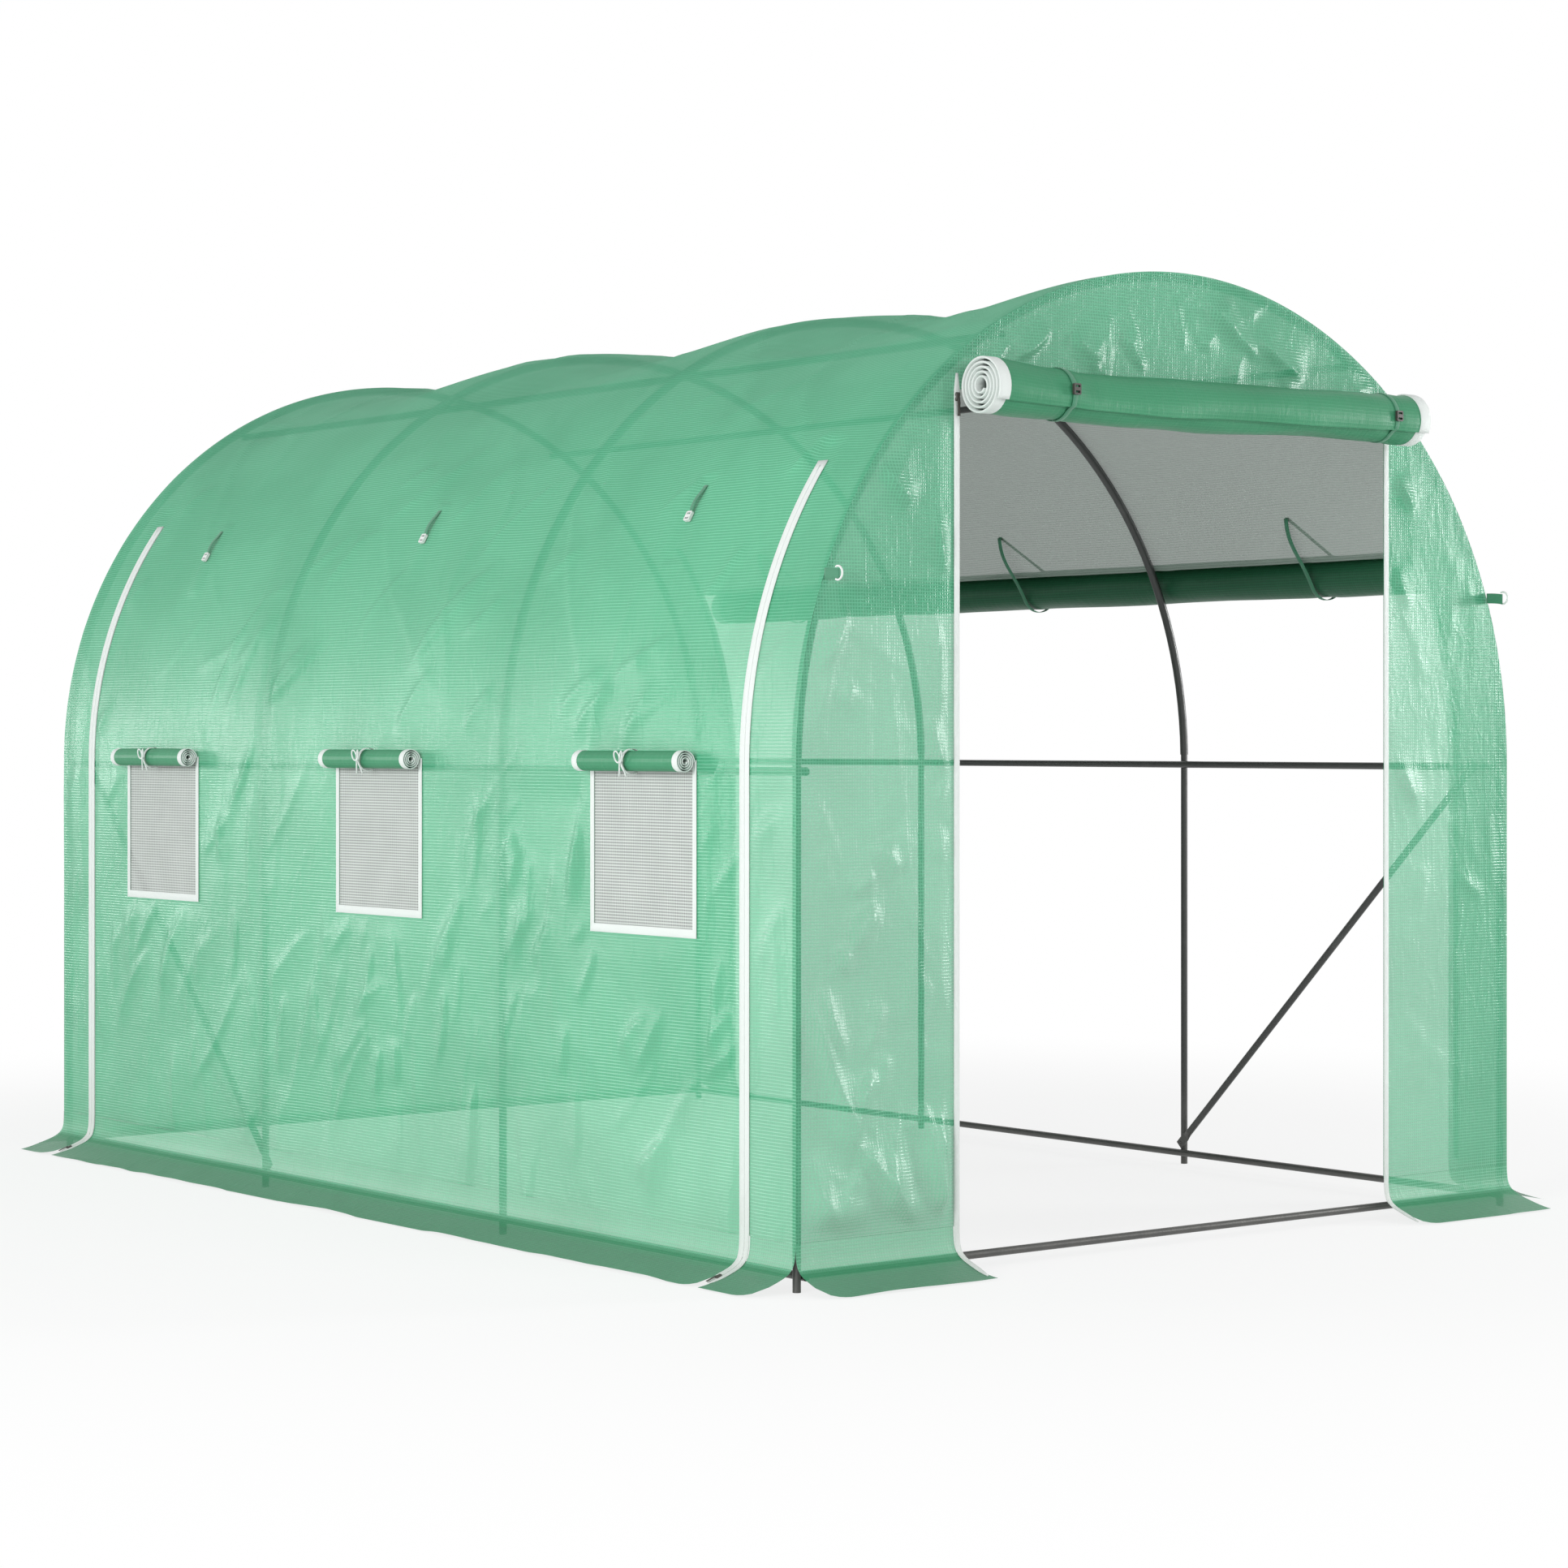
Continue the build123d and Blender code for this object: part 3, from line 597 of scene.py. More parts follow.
def band_section(width, thick, bevel=0.3):
    """A flat tape's section, with its edges eased."""
    w, t = width / 2, thick / 2
    e = min(t * 2 * bevel, w / 3)
    half = [(-w, -t + e), (-w + e, -t), (w - e, -t), (w, -t + e)]
    return half + [(-x, -y) for x, y in half]


def round_section(wide, thick, sides=8):
    """A round or oval section."""
    turns = np.linspace(0, math.tau, sides + 1)[:-1]
    return [(wide / 2 * math.cos(a), thick / 2 * math.sin(a)) for a in turns]


# %% [markdown]
# ## How the cover hangs
# Seen from an end, the side and roof cloth is one line: up the wall, round the hoops and down
# again. One function gives the point of that line for a height along the cloth, and every sheet on
# it, from wall to roof, asks the same function. So the sheets meet without a step. Between two
# hoops the roof dips like a saddle, because the film is cut flat and the hoops hold it up.

# %% The tunnel's own sizes
radius = 1.0005                 # the cover's middle, round the hoops
spring = 0.978                  # the walls are upright to here
foot = 0.0923                   # where the wall ends and the ground skirt begins
bay = 0.987
hoops = np.array([-1.4805, -0.4935, 0.4935, 1.4805])
roof_edge = math.radians(36)    # the zips end here
end_face = 1.4914               # the end cloths' middle
roof_dip = 0.045
wall_rise = spring - foot
door_half, door_top = 0.600, 1.705
zip_y = 1.3365
full_rise = 2 * (wall_rise + radius * math.pi / 2)      # along the cloth, from foot to foot
mid_rail_at, purlin_turn = 0.970, math.radians(60)


def lattice(x, y, seed):
    """Smooth noise between -1 and 1, on squares of side 1."""
    table = np.random.default_rng(seed).uniform(-1, 1, (61, 61))
    i, j = np.floor(x).astype(int), np.floor(y).astype(int)
    a, b = x - i, y - j
    a, b = a * a * (3 - 2 * a), b * b * (3 - 2 * b)
    near = table[i % 61, j % 61] * (1 - a) + table[(i + 1) % 61, j % 61] * a
    far = table[i % 61, (j + 1) % 61] * (1 - a) + table[(i + 1) % 61, (j + 1) % 61] * a
    return near * (1 - b) + far * b


def creases(u, v, lean, across, along, seed, width=0.12):
    """Long narrow ridges, from 0 to 1, that run at an angle of lean from upright."""
    c, s = math.cos(math.radians(lean)), math.sin(math.radians(lean))
    x, y = (u * c + v * s) / across, (v * c - u * s) / along
    level = lattice(x, y, seed) + 0.3 * lattice(2.3 * x, 2.3 * y, seed + 1)
    strong = np.clip(lattice(x * 0.4 + 7, y * 0.6 + 3, seed + 2) + 0.3, 0, 1)
    return np.exp(-np.abs(level) / np.where(level > 0, 0.55 * width, 2.2 * width)) * strong


def ease(x, low, high):
    """0 below low, 1 above high, and smooth between."""
    t = np.clip((x - low) / (high - low), 0, 1)
    return t * t * (3 - 2 * t)


fold_bow = 0.06
fold_strength = 1.15


def folds(u, v, lines):
    """Single folds, each a start, an end, a width and a height. One side of a fold is steeper."""
    total = np.zeros_like(u)
    for x0, y0, x1, y1, width, high in lines:
        run = math.hypot(x1 - x0, y1 - y0)
        t = ((u - x0) * (x1 - x0) + (v - y0) * (y1 - y0)) / run ** 2
        side = ((u - x0) * (y1 - y0) - (v - y0) * (x1 - x0)) / run
        side = side - fold_bow * run * 4 * t * (1 - t)
        taper = ease(np.minimum(t, 1 - t), 0, 0.35)
        reach = np.where(side > 0, width, 2.6 * width)
        total += fold_strength * high * taper * np.exp(-np.abs(side) / reach)
    return total


def random_folds(count, area, leans, seed, lengths=(0.10, 0.42), widths=(0.006, 0.016),
                 highs=(0.003, 0.009)):
    """Folds strewn over an area (low u, high u, low v, high v), leaning between two angles."""
    draw = np.random.default_rng(seed)
    lines = []
    for _ in range(count):
        u, v = draw.uniform(area[0], area[1]), draw.uniform(area[2], area[3])
        lean, run = math.radians(draw.uniform(*leans)), draw.uniform(*lengths)
        width, high = draw.uniform(*widths), draw.uniform(*highs)
        if draw.random() < 0.5:
            lean += math.pi
        du, dv = run / 2 * math.sin(lean), run / 2 * math.cos(lean)
        lines.append((u - du, v - dv, u + du, v + dv, width, high))
    return lines


def tunnel_angle(rise):
    """The angle round the hoop, from 0 at the left spring line to half a turn at the right."""
    return np.clip((rise - wall_rise) / radius, 0, math.pi)


# Folds on the left wall that the photograph shows, as y and z of both ends, width and height.
seen_folds = [
    (-0.75, 1.03, -0.93, 1.15, 0.012, 0.009), (-0.93, 1.15, -1.07, 1.24, 0.010, 0.006),
    (-0.47, 0.74, -0.57, 0.84, 0.016, 0.010), (-0.76, 0.68, -0.80, 0.86, 0.012, 0.009),
    (-1.20, 0.69, -1.50, 0.92, 0.014, 0.008), (-0.85, 0.62, -0.78, 0.49, 0.010, 0.007),
    (-0.98, 0.16, -1.10, 0.25, 0.016, 0.010), (1.58, 0.81, 1.43, 0.94, 0.014, 0.008),
    (0.61, 1.30, 0.87, 1.20, 0.012, 0.007), (-0.35, 1.04, -0.47, 1.15, 0.010, 0.006),
    (-0.57, 0.81, -0.52, 0.70, 0.014, 0.009), (-0.32, 0.65, -0.28, 0.53, 0.010, 0.006),
    (0.00, 0.61, 0.04, 0.41, 0.012, 0.007), (0.28, 0.50, 0.23, 0.32, 0.012, 0.006),
    (-0.57, 0.55, -0.45, 0.32, 0.012, 0.008), (-0.75, 0.47, -0.72, 0.34, 0.010, 0.006),
    (-1.08, 0.51, -0.97, 0.36, 0.012, 0.008), (-1.21, 0.42, -1.30, 0.52, 0.012, 0.008),
    (-1.37, 0.59, -1.48, 0.74, 0.014, 0.009), (-0.13, 0.35, -0.19, 0.50, 0.010, 0.006),
    (0.58, 0.52, 0.51, 0.32, 0.012, 0.006), (0.97, 0.41, 0.91, 0.60, 0.012, 0.007),
    (-1.16, 0.87, -1.29, 1.00, 0.010, 0.006),
]
seen_folds = [(y0, z0 - foot, y1, z1 - foot, w, h) for y0, z0, y1, z1, w, h in seen_folds]
shell_folds = {
    "left": seen_folds + random_folds(46, (-1.45, 1.45, 0.05, 0.75), (-14, 10), 101)
    + random_folds(70, (-1.45, 1.45, 0.1, 1.6), (-62, -28), 102),
    "roof": random_folds(50, (-1.45, 1.45, 1.5, full_rise - 1.5), (-80, 80), 103,
                         highs=(0.0015, 0.0035)),
    "right": random_folds(40, (-1.45, 1.45, full_rise - 1.5, full_rise - 0.1), (20, 60), 104),
}
zip_top = 1.56
strap_places, strap_low, strap_high = np.array([-bay, 0.0, bay]), 1.30, 1.50
rail_rises = np.array([mid_rail_at - foot, wall_rise + radius * purlin_turn])
rail_rises = np.concatenate([rail_rises, full_rise - rail_rises])


def crumple(y, rise, seed):
    """How far the wall and roof film stand off their plain shape, outwards. Never into a rail."""
    hold = 1 - np.exp(-(np.abs(y[..., None] - hoops).min(-1) / 0.035) ** 2)
    by_zip = np.minimum(rise, full_rise - rise) < zip_top
    zipped = np.where(by_zip, np.abs(np.abs(y) - zip_y), 1)
    hold = hold * ease(zipped, 0.012, 0.05)
    strapped = np.abs(y[..., None] - strap_places).min(-1)
    strapped = np.where((rise > strap_low) & (rise < strap_high), strapped, 1)
    hold = hold * ease(strapped, 0.008, 0.04)
    low = 1 - ease(rise, 0.55, 1.7)
    wave = 0.007 * lattice(y / 0.26, rise / 0.40, seed)
    tall = creases(y, rise, 6, 0.13, 0.75, seed + 10) * low
    slant = creases(y, rise, -38, 0.17, 0.6, seed + 20)
    total = wave + 0.006 * tall + 0.006 * slant
    for lines, area in (("left", rise < 1.9), ("roof", (rise > 1.3) & (rise < full_rise - 1.3)),
                        ("right", rise > full_rise - 1.9)):
        if area.any():
            total = total + folds(y, rise, shell_folds[lines])
    by_rail = np.exp(-(np.abs(rise[..., None] - rail_rises).min(-1) / 0.035) ** 2)
    return hold * np.where(total < 0, total * (1 - by_rail), total)


def shell(y, rise, seed=5, calm=None):
    """The cover's middle at a place along the tunnel and a height along the cloth."""
    angle = tunnel_angle(rise)
    over_edge = (np.minimum(angle, math.pi - angle) - roof_edge) / (math.pi / 2 - roof_edge)
    share = np.sin(np.clip(over_edge, 0, 1) * math.pi / 2) ** 2
    wave = np.where(np.abs(y) < hoops[-1], (1 + np.cos(2 * math.pi * y / bay)) / 2, 0)
    off = -roof_dip * share * wave
    rough = crumple(y, rise, seed)
    off = off + (rough if calm is None else rough * calm)
    across, up = -np.cos(angle), np.sin(angle)
    left_wall, right_wall = rise < wall_rise, rise > wall_rise + math.pi * radius
    x = (radius + off) * across
    z = spring + (radius + off) * up
    z = np.where(left_wall, foot + rise, z)
    z = np.where(right_wall, spring - (rise - wall_rise - math.pi * radius), z)
    return np.stack([x, y, z], -1)


def marks(low, high, step, *stops):
    """Places from low to high about a step apart, with the stops among them."""
    edges = sorted({low, high, *[s for s in stops if low < s < high]})
    spans = [
        np.linspace(a, b, max(1, round((b - a) / step)) + 1)[:-1] for a, b in zip(edges, edges[1:])
    ]
    return np.concatenate([*spans, [high]])


print("the film is", round(full_rise, 3), "m from foot to foot")

# %% [markdown]
# ## Roof, walls and curtain
# The roof sheet lies over the hoops. The left side is closed: a curtain between two zips, with a
# narrow fixed strip on each side of it. It has three window holes. The right side's curtain is
# rolled up, and only its strips and a narrow header stay.

# %% Roof sheet
hoop_names = [f"{place}_hoop_arch" for place in ("front", "second", "third", "back")]
roof_low, roof_high = wall_rise + radius * roof_edge, wall_rise + radius * (math.pi - roof_edge)
grid_y, grid_rise = np.meshgrid(
    marks(-end_face, end_face, 0.014, *hoops), marks(roof_low, roof_high, 0.014), indexing="ij"
)
mesh = grid_mesh("roof_sheet", shell(grid_y, grid_rise), np.stack([grid_y, grid_rise], -1), flip=True)
cloth_piece("roof_sheet", mesh, wall_film, "stretched",
            hoop_names + ["left_purlin", "right_purlin"], "roof_cover")

# %% Side sheets
window_half, window_low, window_high = 0.178, 0.646, 0.990
hem = 0.012
window_middles = [k * bay - 0.020 for k in (-1, 0, 1)]


def side_sheet(name, side, near, far, low, high, step, windows, rests_on, *nodes):
    """A sheet on one side of the tunnel, between two places and two heights along the cloth."""
    edges = [m + s * (window_half - hem) for m in windows for s in (-1, 1)]
    levels = [z - foot for z in (window_low + hem, window_high - hem)] if windows else []
    y, rise = np.meshgrid(
        marks(near, far, step, *hoops, *edges), marks(low, high, step, wall_rise, *levels),
        indexing="ij",
    )
    keep = np.ones((y.shape[0] - 1, y.shape[1] - 1), bool)
    calm = np.ones_like(y)
    for middle in windows:
        mid_y, mid_rise = (y[:-1, :-1] + y[1:, 1:]) / 2, (rise[:-1, :-1] + rise[1:, 1:]) / 2
        keep &= ~((np.abs(mid_y - middle) < window_half - hem)
                  & (mid_rise > levels[0]) & (mid_rise < levels[1]))
        off_y = np.abs(y - middle) - window_half
        off_z = np.abs(rise + foot - (window_low + window_high) / 2) - (window_high - window_low) / 2
        calm *= ease(np.maximum(off_y, off_z), 0.0, 0.05)
    seen_rise = rise if side < 0 else full_rise - rise
    points = shell(y, seen_rise, calm=calm)
    mesh = grid_mesh(name, points, np.stack([y, rise], -1), keep, flip=side < 0)
    cloth_piece(name, mesh, wall_film, "hung", rests_on, *nodes)


slit = 0.0153                   # from a zip's middle to the curtain's edge
side_sheet("left_curtain_sheet", -1, -zip_y + slit, zip_y - slit, 0, roof_low, 0.009,
           window_middles, hoop_names, "left_curtain")
for end_name, sign in (("front", -1), ("back", 1)):
    low_y, high_y = sorted((sign * (zip_y + 0.0003), sign * end_face))
    for side_name, side in (("left", -1), ("right", 1)):
        side_sheet(f"{side_name}_{end_name}_strip_sheet", side, low_y, high_y, 0, roof_low, 0.012,
                   [], [f"{end_name}_hoop_arch"], f"{side_name}_{end_name}_strip")
header_end = math.radians(27.3)
header_low = wall_rise + radius * header_end
side_sheet("right_header_sheet", 1, -zip_y + 0.0003, zip_y - 0.0003, header_low, roof_low, 0.013,
           [], hoop_names, "right_header")


# %% [markdown]
# ## The ends
# Each end is a flat cloth sewn to the last hoop's edge. The front one has a doorway cut in it, so a
# gable is left above and a panel on each side. These cloths carry the hardest creases, where the
# fold lines of the imported cover cross them. A few of them are given one by one where they catch
# the light in the photograph, and noise makes the rest.


# %% End sheets
end_fold_strength = 1.6


def end_crumple(x, z, seed, lines, noise):
    """How far an end cloth stands off its plane. It is calm at its edges and beside the door zips."""
    edge = np.clip(radius - np.hypot(x, np.maximum(z - spring, 0)), 0, 1)
    hold = ease(edge, 0.0, 0.06) * ease(z, foot, foot + 0.06)
    beside_door = np.where(z < door_top, np.abs(np.abs(x) - door_half - 0.007), 1)
    hold = hold * ease(beside_door, 0.008, 0.05)
    wave = 0.006 * lattice(x / 0.24, z / 0.32, seed)
    tall = creases(x, z, 4, 0.12, 0.7, seed + 10)
    slant = creases(x, z, 42, 0.16, 0.5, seed + 20)
    low = creases(x, z, -50, 0.06, 0.16, seed + 30) * (1 - ease(z, 0.25, 0.55))
    random = wave + 0.004 * tall + 0.005 * slant + 0.006 * low
    return hold * (noise * random + end_fold_strength * folds(x, z, lines))


def end_sheet(name, sign, x, z, seed, lines, noise, rests_on, *nodes):
    """A flat end cloth through the given places, its creases outwards. noise scales the random ones."""
    off = np.maximum(end_crumple(x, z, seed, lines, noise), -0.002)
    points = np.stack([x, sign * (end_face + off), z], -1)
    mesh = grid_mesh(name, points, np.stack([x, z], -1))
    turn_out(mesh, (0, sign, 0))
    cloth_piece(name, mesh, end_film, "hung", rests_on, *nodes)


def arch_top(x):
    return spring + np.sqrt(np.maximum(radius ** 2 - x ** 2, 0))


across = marks(-door_half, door_half, 0.008)
share = np.linspace(0, 1, 36)
x = np.repeat(across[:, None], len(share), 1)
z = door_top + (arch_top(x) - door_top) * share
gable_folds = [
    (-0.31, 1.84, -0.22, 1.78, 0.018, 0.010), (-0.17, 1.86, -0.09, 1.76, 0.007, 0.008),
    (0.06, 1.94, 0.24, 1.81, 0.014, 0.011), (0.20, 1.87, 0.36, 1.78, 0.016, 0.011),
    (0.44, 1.87, 0.56, 1.79, 0.012, 0.008), (-0.46, 1.77, -0.35, 1.85, 0.012, 0.008),
    (-0.02, 1.95, 0.02, 1.80, 0.010, 0.005),
] + random_folds(16, (-0.6, 0.6, 1.72, 1.95), (-70, 70), 105,
                 (0.05, 0.2), (0.005, 0.012), (0.002, 0.006))
end_sheet("front_gable_sheet", -1, x, z, 31, gable_folds, 1.0, ["front_hoop_arch"], "front_gable")

panel_folds = {
    "left": [
        (-1.01, 0.24, -0.83, 0.06, 0.024, 0.018), (-0.94, 0.36, -0.78, 0.19, 0.016, 0.009),
        (-0.81, 0.23, -0.66, 0.06, 0.020, 0.015), (-0.68, 0.34, -0.63, 0.06, 0.014, 0.010),
        (-0.97, 0.57, -0.84, 0.25, 0.016, 0.012), (-0.85, 0.27, -0.77, 0.17, 0.012, 0.008),
        (-0.80, 1.56, -0.72, 1.47, 0.012, 0.010), (-0.66, 1.47, -0.63, 1.34, 0.009, 0.006),
        (-0.68, 1.09, -0.63, 0.95, 0.010, 0.007), (-0.80, 0.84, -0.75, 0.77, 0.012, 0.008),
        (-0.96, 1.15, -0.88, 1.28, 0.010, 0.007),
    ] + random_folds(26, (-0.98, -0.62, 0.12, 1.3), (-25, 60), 106,
                     (0.06, 0.26), (0.006, 0.014), (0.002, 0.007)),
    "right": [
        (0.64, 1.60, 0.70, 1.52, 0.008, 0.006), (0.63, 1.40, 0.69, 1.31, 0.007, 0.005),
        (0.64, 1.00, 0.72, 0.87, 0.008, 0.006), (0.84, 0.74, 0.92, 0.68, 0.007, 0.004),
    ] + random_folds(22, (0.62, 0.98, 0.12, 1.4), (-25, 60), 107,
                     (0.06, 0.24), (0.006, 0.014), (0.0005, 0.0015)),
}
panel_noise = {"left": 1.0, "right": 0.3}
heights = marks(foot, arch_top(np.array(door_half + 0.0003)).item(), 0.009, spring)
for side_name, side in (("left", -1), ("right", 1)):
    share = np.linspace(0, 1, 46)
    z = np.repeat(heights[:, None], len(share), 1)
    outer = np.sqrt(np.maximum(radius ** 2 - np.maximum(z - spring, 0) ** 2, 0))
    near = door_half + 0.0003
    x = side * (near + (np.maximum(outer, near) - near) * share)
    end_sheet(f"front_{side_name}_panel_sheet", -1, x, z, 41 + side, panel_folds[side_name],
              panel_noise[side_name], ["front_hoop_arch"], f"front_{side_name}_panel")

turn = np.linspace(0, math.pi, 180)
share = np.linspace(0, 1, 150)
x = np.repeat(-radius * np.cos(turn)[:, None], len(share), 1)
z = foot + (arch_top(x) - foot) * share
back_folds = random_folds(90, (-0.9, 0.9, 0.1, 1.85), (-60, 60), 108)
end_sheet("back_panel_sheet", 1, x, z, 61, back_folds, 1.0, ["back_hoop_arch"], "back_panel")


# %% [markdown]
# ## Ground skirts
# The cover ends in loose flaps that turn outwards on the ground, where soil or stones hold them
# down. Each flap follows a quarter round and then lies flat, with a soft wave along its edge and
# rounded corners.


# %% Skirt sheets
# How far out the flap is at each height, from the wall's foot to its edge on the ground.
flare_out = np.array([0, 0.0005, 0.002, 0.006, 0.015, 0.027, 0.042, 0.060, 0.080, 0.098, 0.108])
flare_high = np.array(
    [0.092, 0.076, 0.060, 0.047, 0.0365, 0.0295, 0.0235, 0.0170, 0.0098, 0.0042, 0.0020]
)
flare_run = runs(np.stack([flare_out, flare_high], -1))
skirt_drop, skirt_corner = flare_run[-1], 0.050


def skirt_sheet(name, start, end, outward, seed, rounded, *nodes):
    """A flap from start to end along the wall. rounded says which of its two corners are cut round.

    A corner that isn't round runs on sideways a little, as cloth does where it leaves its wall.
    """
    start, end, outward = (np.array(v, float) for v in (start, end, outward))
    length = np.linalg.norm(end - start)
    direction = (end - start) / length
    along, down = np.meshgrid(marks(0, length, 0.012), marks(0, skirt_drop, 0.007), indexing="ij")
    share = down / skirt_drop
    used = down.copy()
    slide = np.zeros_like(along)
    for is_round, near, sign in ((rounded[0], along, -1), (rounded[1], length - along, 1)):
        inset = np.clip(skirt_corner - near, 0, skirt_corner)
        cut = skirt_corner - np.sqrt(skirt_corner ** 2 - inset ** 2)
        if is_round:
            used = used - share ** 3 * cut
        else:
            slide += sign * 0.020 * share ** 3 * np.clip(1 - near / 0.15, 0, 1) ** 2
    out = np.interp(used, flare_run, flare_out)
    high = np.interp(used, flare_run, flare_high)
    loose = ease(used, 0.3 * skirt_drop, skirt_drop)
    wave = lattice(along / 0.17, used / 0.3, seed) + 0.4 * lattice(along / 0.07, used / 0.1, seed + 1)
    high = high + loose * 0.006 * np.maximum(wave, 0) + 0.0008
    out = out + ease(used, 0.02, skirt_drop) * 0.004 * lattice(along / 0.25, used / 0.5, seed + 2)
    points = start + direction * (along + slide)[..., None] + outward * out[..., None]
    points[..., 2] = high
    mesh = grid_mesh(name, points, np.stack([along, used], -1))
    turn_out(mesh, outward)
    cloth_piece(name, mesh, skirt_film, "laid", ["floor"], *nodes)


end_y, corner_x, door_x = 1.4909, 1.0013, 0.614
curtain_y, strip_near, strip_far = 1.3213, 1.3518, 1.4903
skirt_sheet("left_skirt_sheet", (-radius, -curtain_y, 0), (-radius, curtain_y, 0), (-1, 0, 0), 3,
            (True, False), "left_skirt")
seed = 11
for side_name, side in (("left", -1), ("right", 1)):
    for end_name, sign in (("front", -1), ("back", 1)):
        low_y, high_y = sorted((sign * strip_near, sign * strip_far))
        skirt_sheet(f"{side_name}_{end_name}_strip_skirt_sheet", (side * radius, low_y, 0),
                    (side * radius, high_y, 0), (side, 0, 0), seed, (side < 0, False), "strip_skirts")
        seed += 1
skirt_sheet("front_left_skirt_sheet", (-corner_x, -end_y, 0), (-door_x, -end_y, 0), (0, -1, 0), 20,
            (True, False), "front_skirts")
skirt_sheet("front_right_skirt_sheet", (door_x, -end_y, 0), (corner_x, -end_y, 0), (0, -1, 0), 22,
            (True, False), "front_skirts")
skirt_sheet("back_skirt_sheet", (-corner_x, end_y, 0), (corner_x, end_y, 0), (0, 1, 0), 27,
            (False, False), "back_skirt")


# %% [markdown]
# ## Rolled cloths
# The door, the right curtain and the window flaps are rolled up. A roll could be a cylinder, but
# its ends would give it away: a roll is one sheet wound on itself, and from the end it is a
# spiral. Its two edges carry the white zip tape, thicker than the film, which shows as white rings.


# %% Rolls
def spiral(eye, pitch, turns, start_turn, steps=40):
    """A spiral from its eye outwards, as angle and radius."""
    angle = np.linspace(0, math.tau * turns, int(steps * turns) + 1)
    return angle + start_turn, eye + pitch * angle / math.tau


def straight(t):
    return np.zeros_like(t)


def roll_piece(name, middle, axes, length, eye, pitch, turns, start_turn, lump, seed, nodes,
               sag=straight, tied=(), swell=0.0, hung_from=None, loose=0.0):
    """A sheet wound on itself. axes are its own direction, sideways and up.

    It has a sag and lumps along its length, is smooth where it is tied, and swells a little towards
    its two ends. hung_from is where, sideways and up from the roll's middle, the sheet's last edge is
    sewn on. loose is how far its free edge stands off.
    """
    axis, side, up = np.array(axes, float)
    angle, reach = spiral(eye, pitch, turns, start_turn)
    run = np.concatenate([[0], np.cumsum(np.hypot(np.diff(reach), np.diff(angle) * reach[1:]))])
    along = marks(-length / 2, length / 2, 0.014)
    a, t = np.meshgrid(np.arange(len(angle)), along, indexing="ij")
    outer = reach[a] / reach[-1]
    slack = lattice(t / 0.34, angle[a] / 1.1, seed) + 0.5 * lattice(t / 0.13, angle[a] / 0.8, seed + 4)
    calm = ease(length / 2 - np.abs(t), 0.0, 0.05)
    for place in tied:
        calm = calm * ease(np.abs(t - place), 0.006, 0.05)
    bump = lump * outer * slack * calm + swell * outer * ease(np.abs(t), length / 2 - 0.16, length / 2)
    free = ease(angle[a], angle[-1] - 0.8, angle[-1])
    free = free * (0.75 + 0.4 * lattice(t / 0.19, np.zeros_like(t), seed + 7))
    r = reach[a] + bump + loose * free * calm
    points = middle + axis * t[..., None] + side * (r * np.cos(angle[a]))[..., None]
    points = points + up * (r * np.sin(angle[a]) - sag(t))[..., None]
    flats = np.stack([t, run[a]], -1)
    if hung_from:
        sewn = middle + side * hung_from[0] + up * hung_from[1] + axis * along[:, None]
        share = np.linspace(0, 1, 8)[1:, None, None]
        points = np.concatenate([points, points[-1:] * (1 - share) + sewn * share])
        gap = np.linalg.norm(sewn - points[len(angle) - 1], axis=1)
        last = np.repeat(flats[-1:], 7, 0)
        last[..., 1] += share[..., 0] * gap
        flats = np.concatenate([flats, last])
    cloth_piece(name, grid_mesh(name, points, flats), roll_film, "folded", [], *nodes)
    return angle, reach


def roll_rims(name, ends, middle, axes, place, angle, reach, thick, wide, sag=straight):
    """The white tape along both edges of a rolled sheet, wound with it, at a place and its opposite."""
    axis, side, up = np.array(axes, float)
    radial = np.cos(angle)[:, None] * side + np.sin(angle)[:, None] * up
    for end, at in zip(ends, (-place, place)):
        line = middle + axis * at + up * -float(sag(np.array(at))) + radial * reach[:, None]
        strip(f"{name}_{end}_rim", line, axis, radial, band_section(wide, thick, 0.35),
              white_tape, "white_tape")


# %% Door roll
def door_sag(t):
    """How low the door roll hangs between its ends."""
    turn = t + 0.62
    return 0.009 * np.clip(np.sin(turn / 1.24 * math.pi), 0, 1) + 0.004 * np.sin(turn * 5.5)


door_roll_at = np.array([0.0115, -1.5493, 1.709])
door_roll_length, rim_inset = 1.221, 0.0165
door_axes = (1, 0, 0), (0, 1, 0), (0, 0, 1)
door_strap_places = (-0.400, 0.520)
door_angle, door_reach = roll_piece(
    "door_roll_sheet", door_roll_at, door_axes, length=door_roll_length - 0.03, eye=0.011,
    pitch=0.0089, turns=5, start_turn=math.pi + 0.5, lump=0.0065, seed=71, nodes=["door_roll"],
    sag=door_sag, tied=[x - door_roll_at[0] for x in door_strap_places], swell=0.0025, loose=0.0045,
)
roll_rims("door_roll", ("left", "right"), door_roll_at, door_axes, door_roll_length / 2 - rim_inset,
          door_angle, door_reach * 1.045, thick=0.0042, wide=0.030, sag=door_sag)

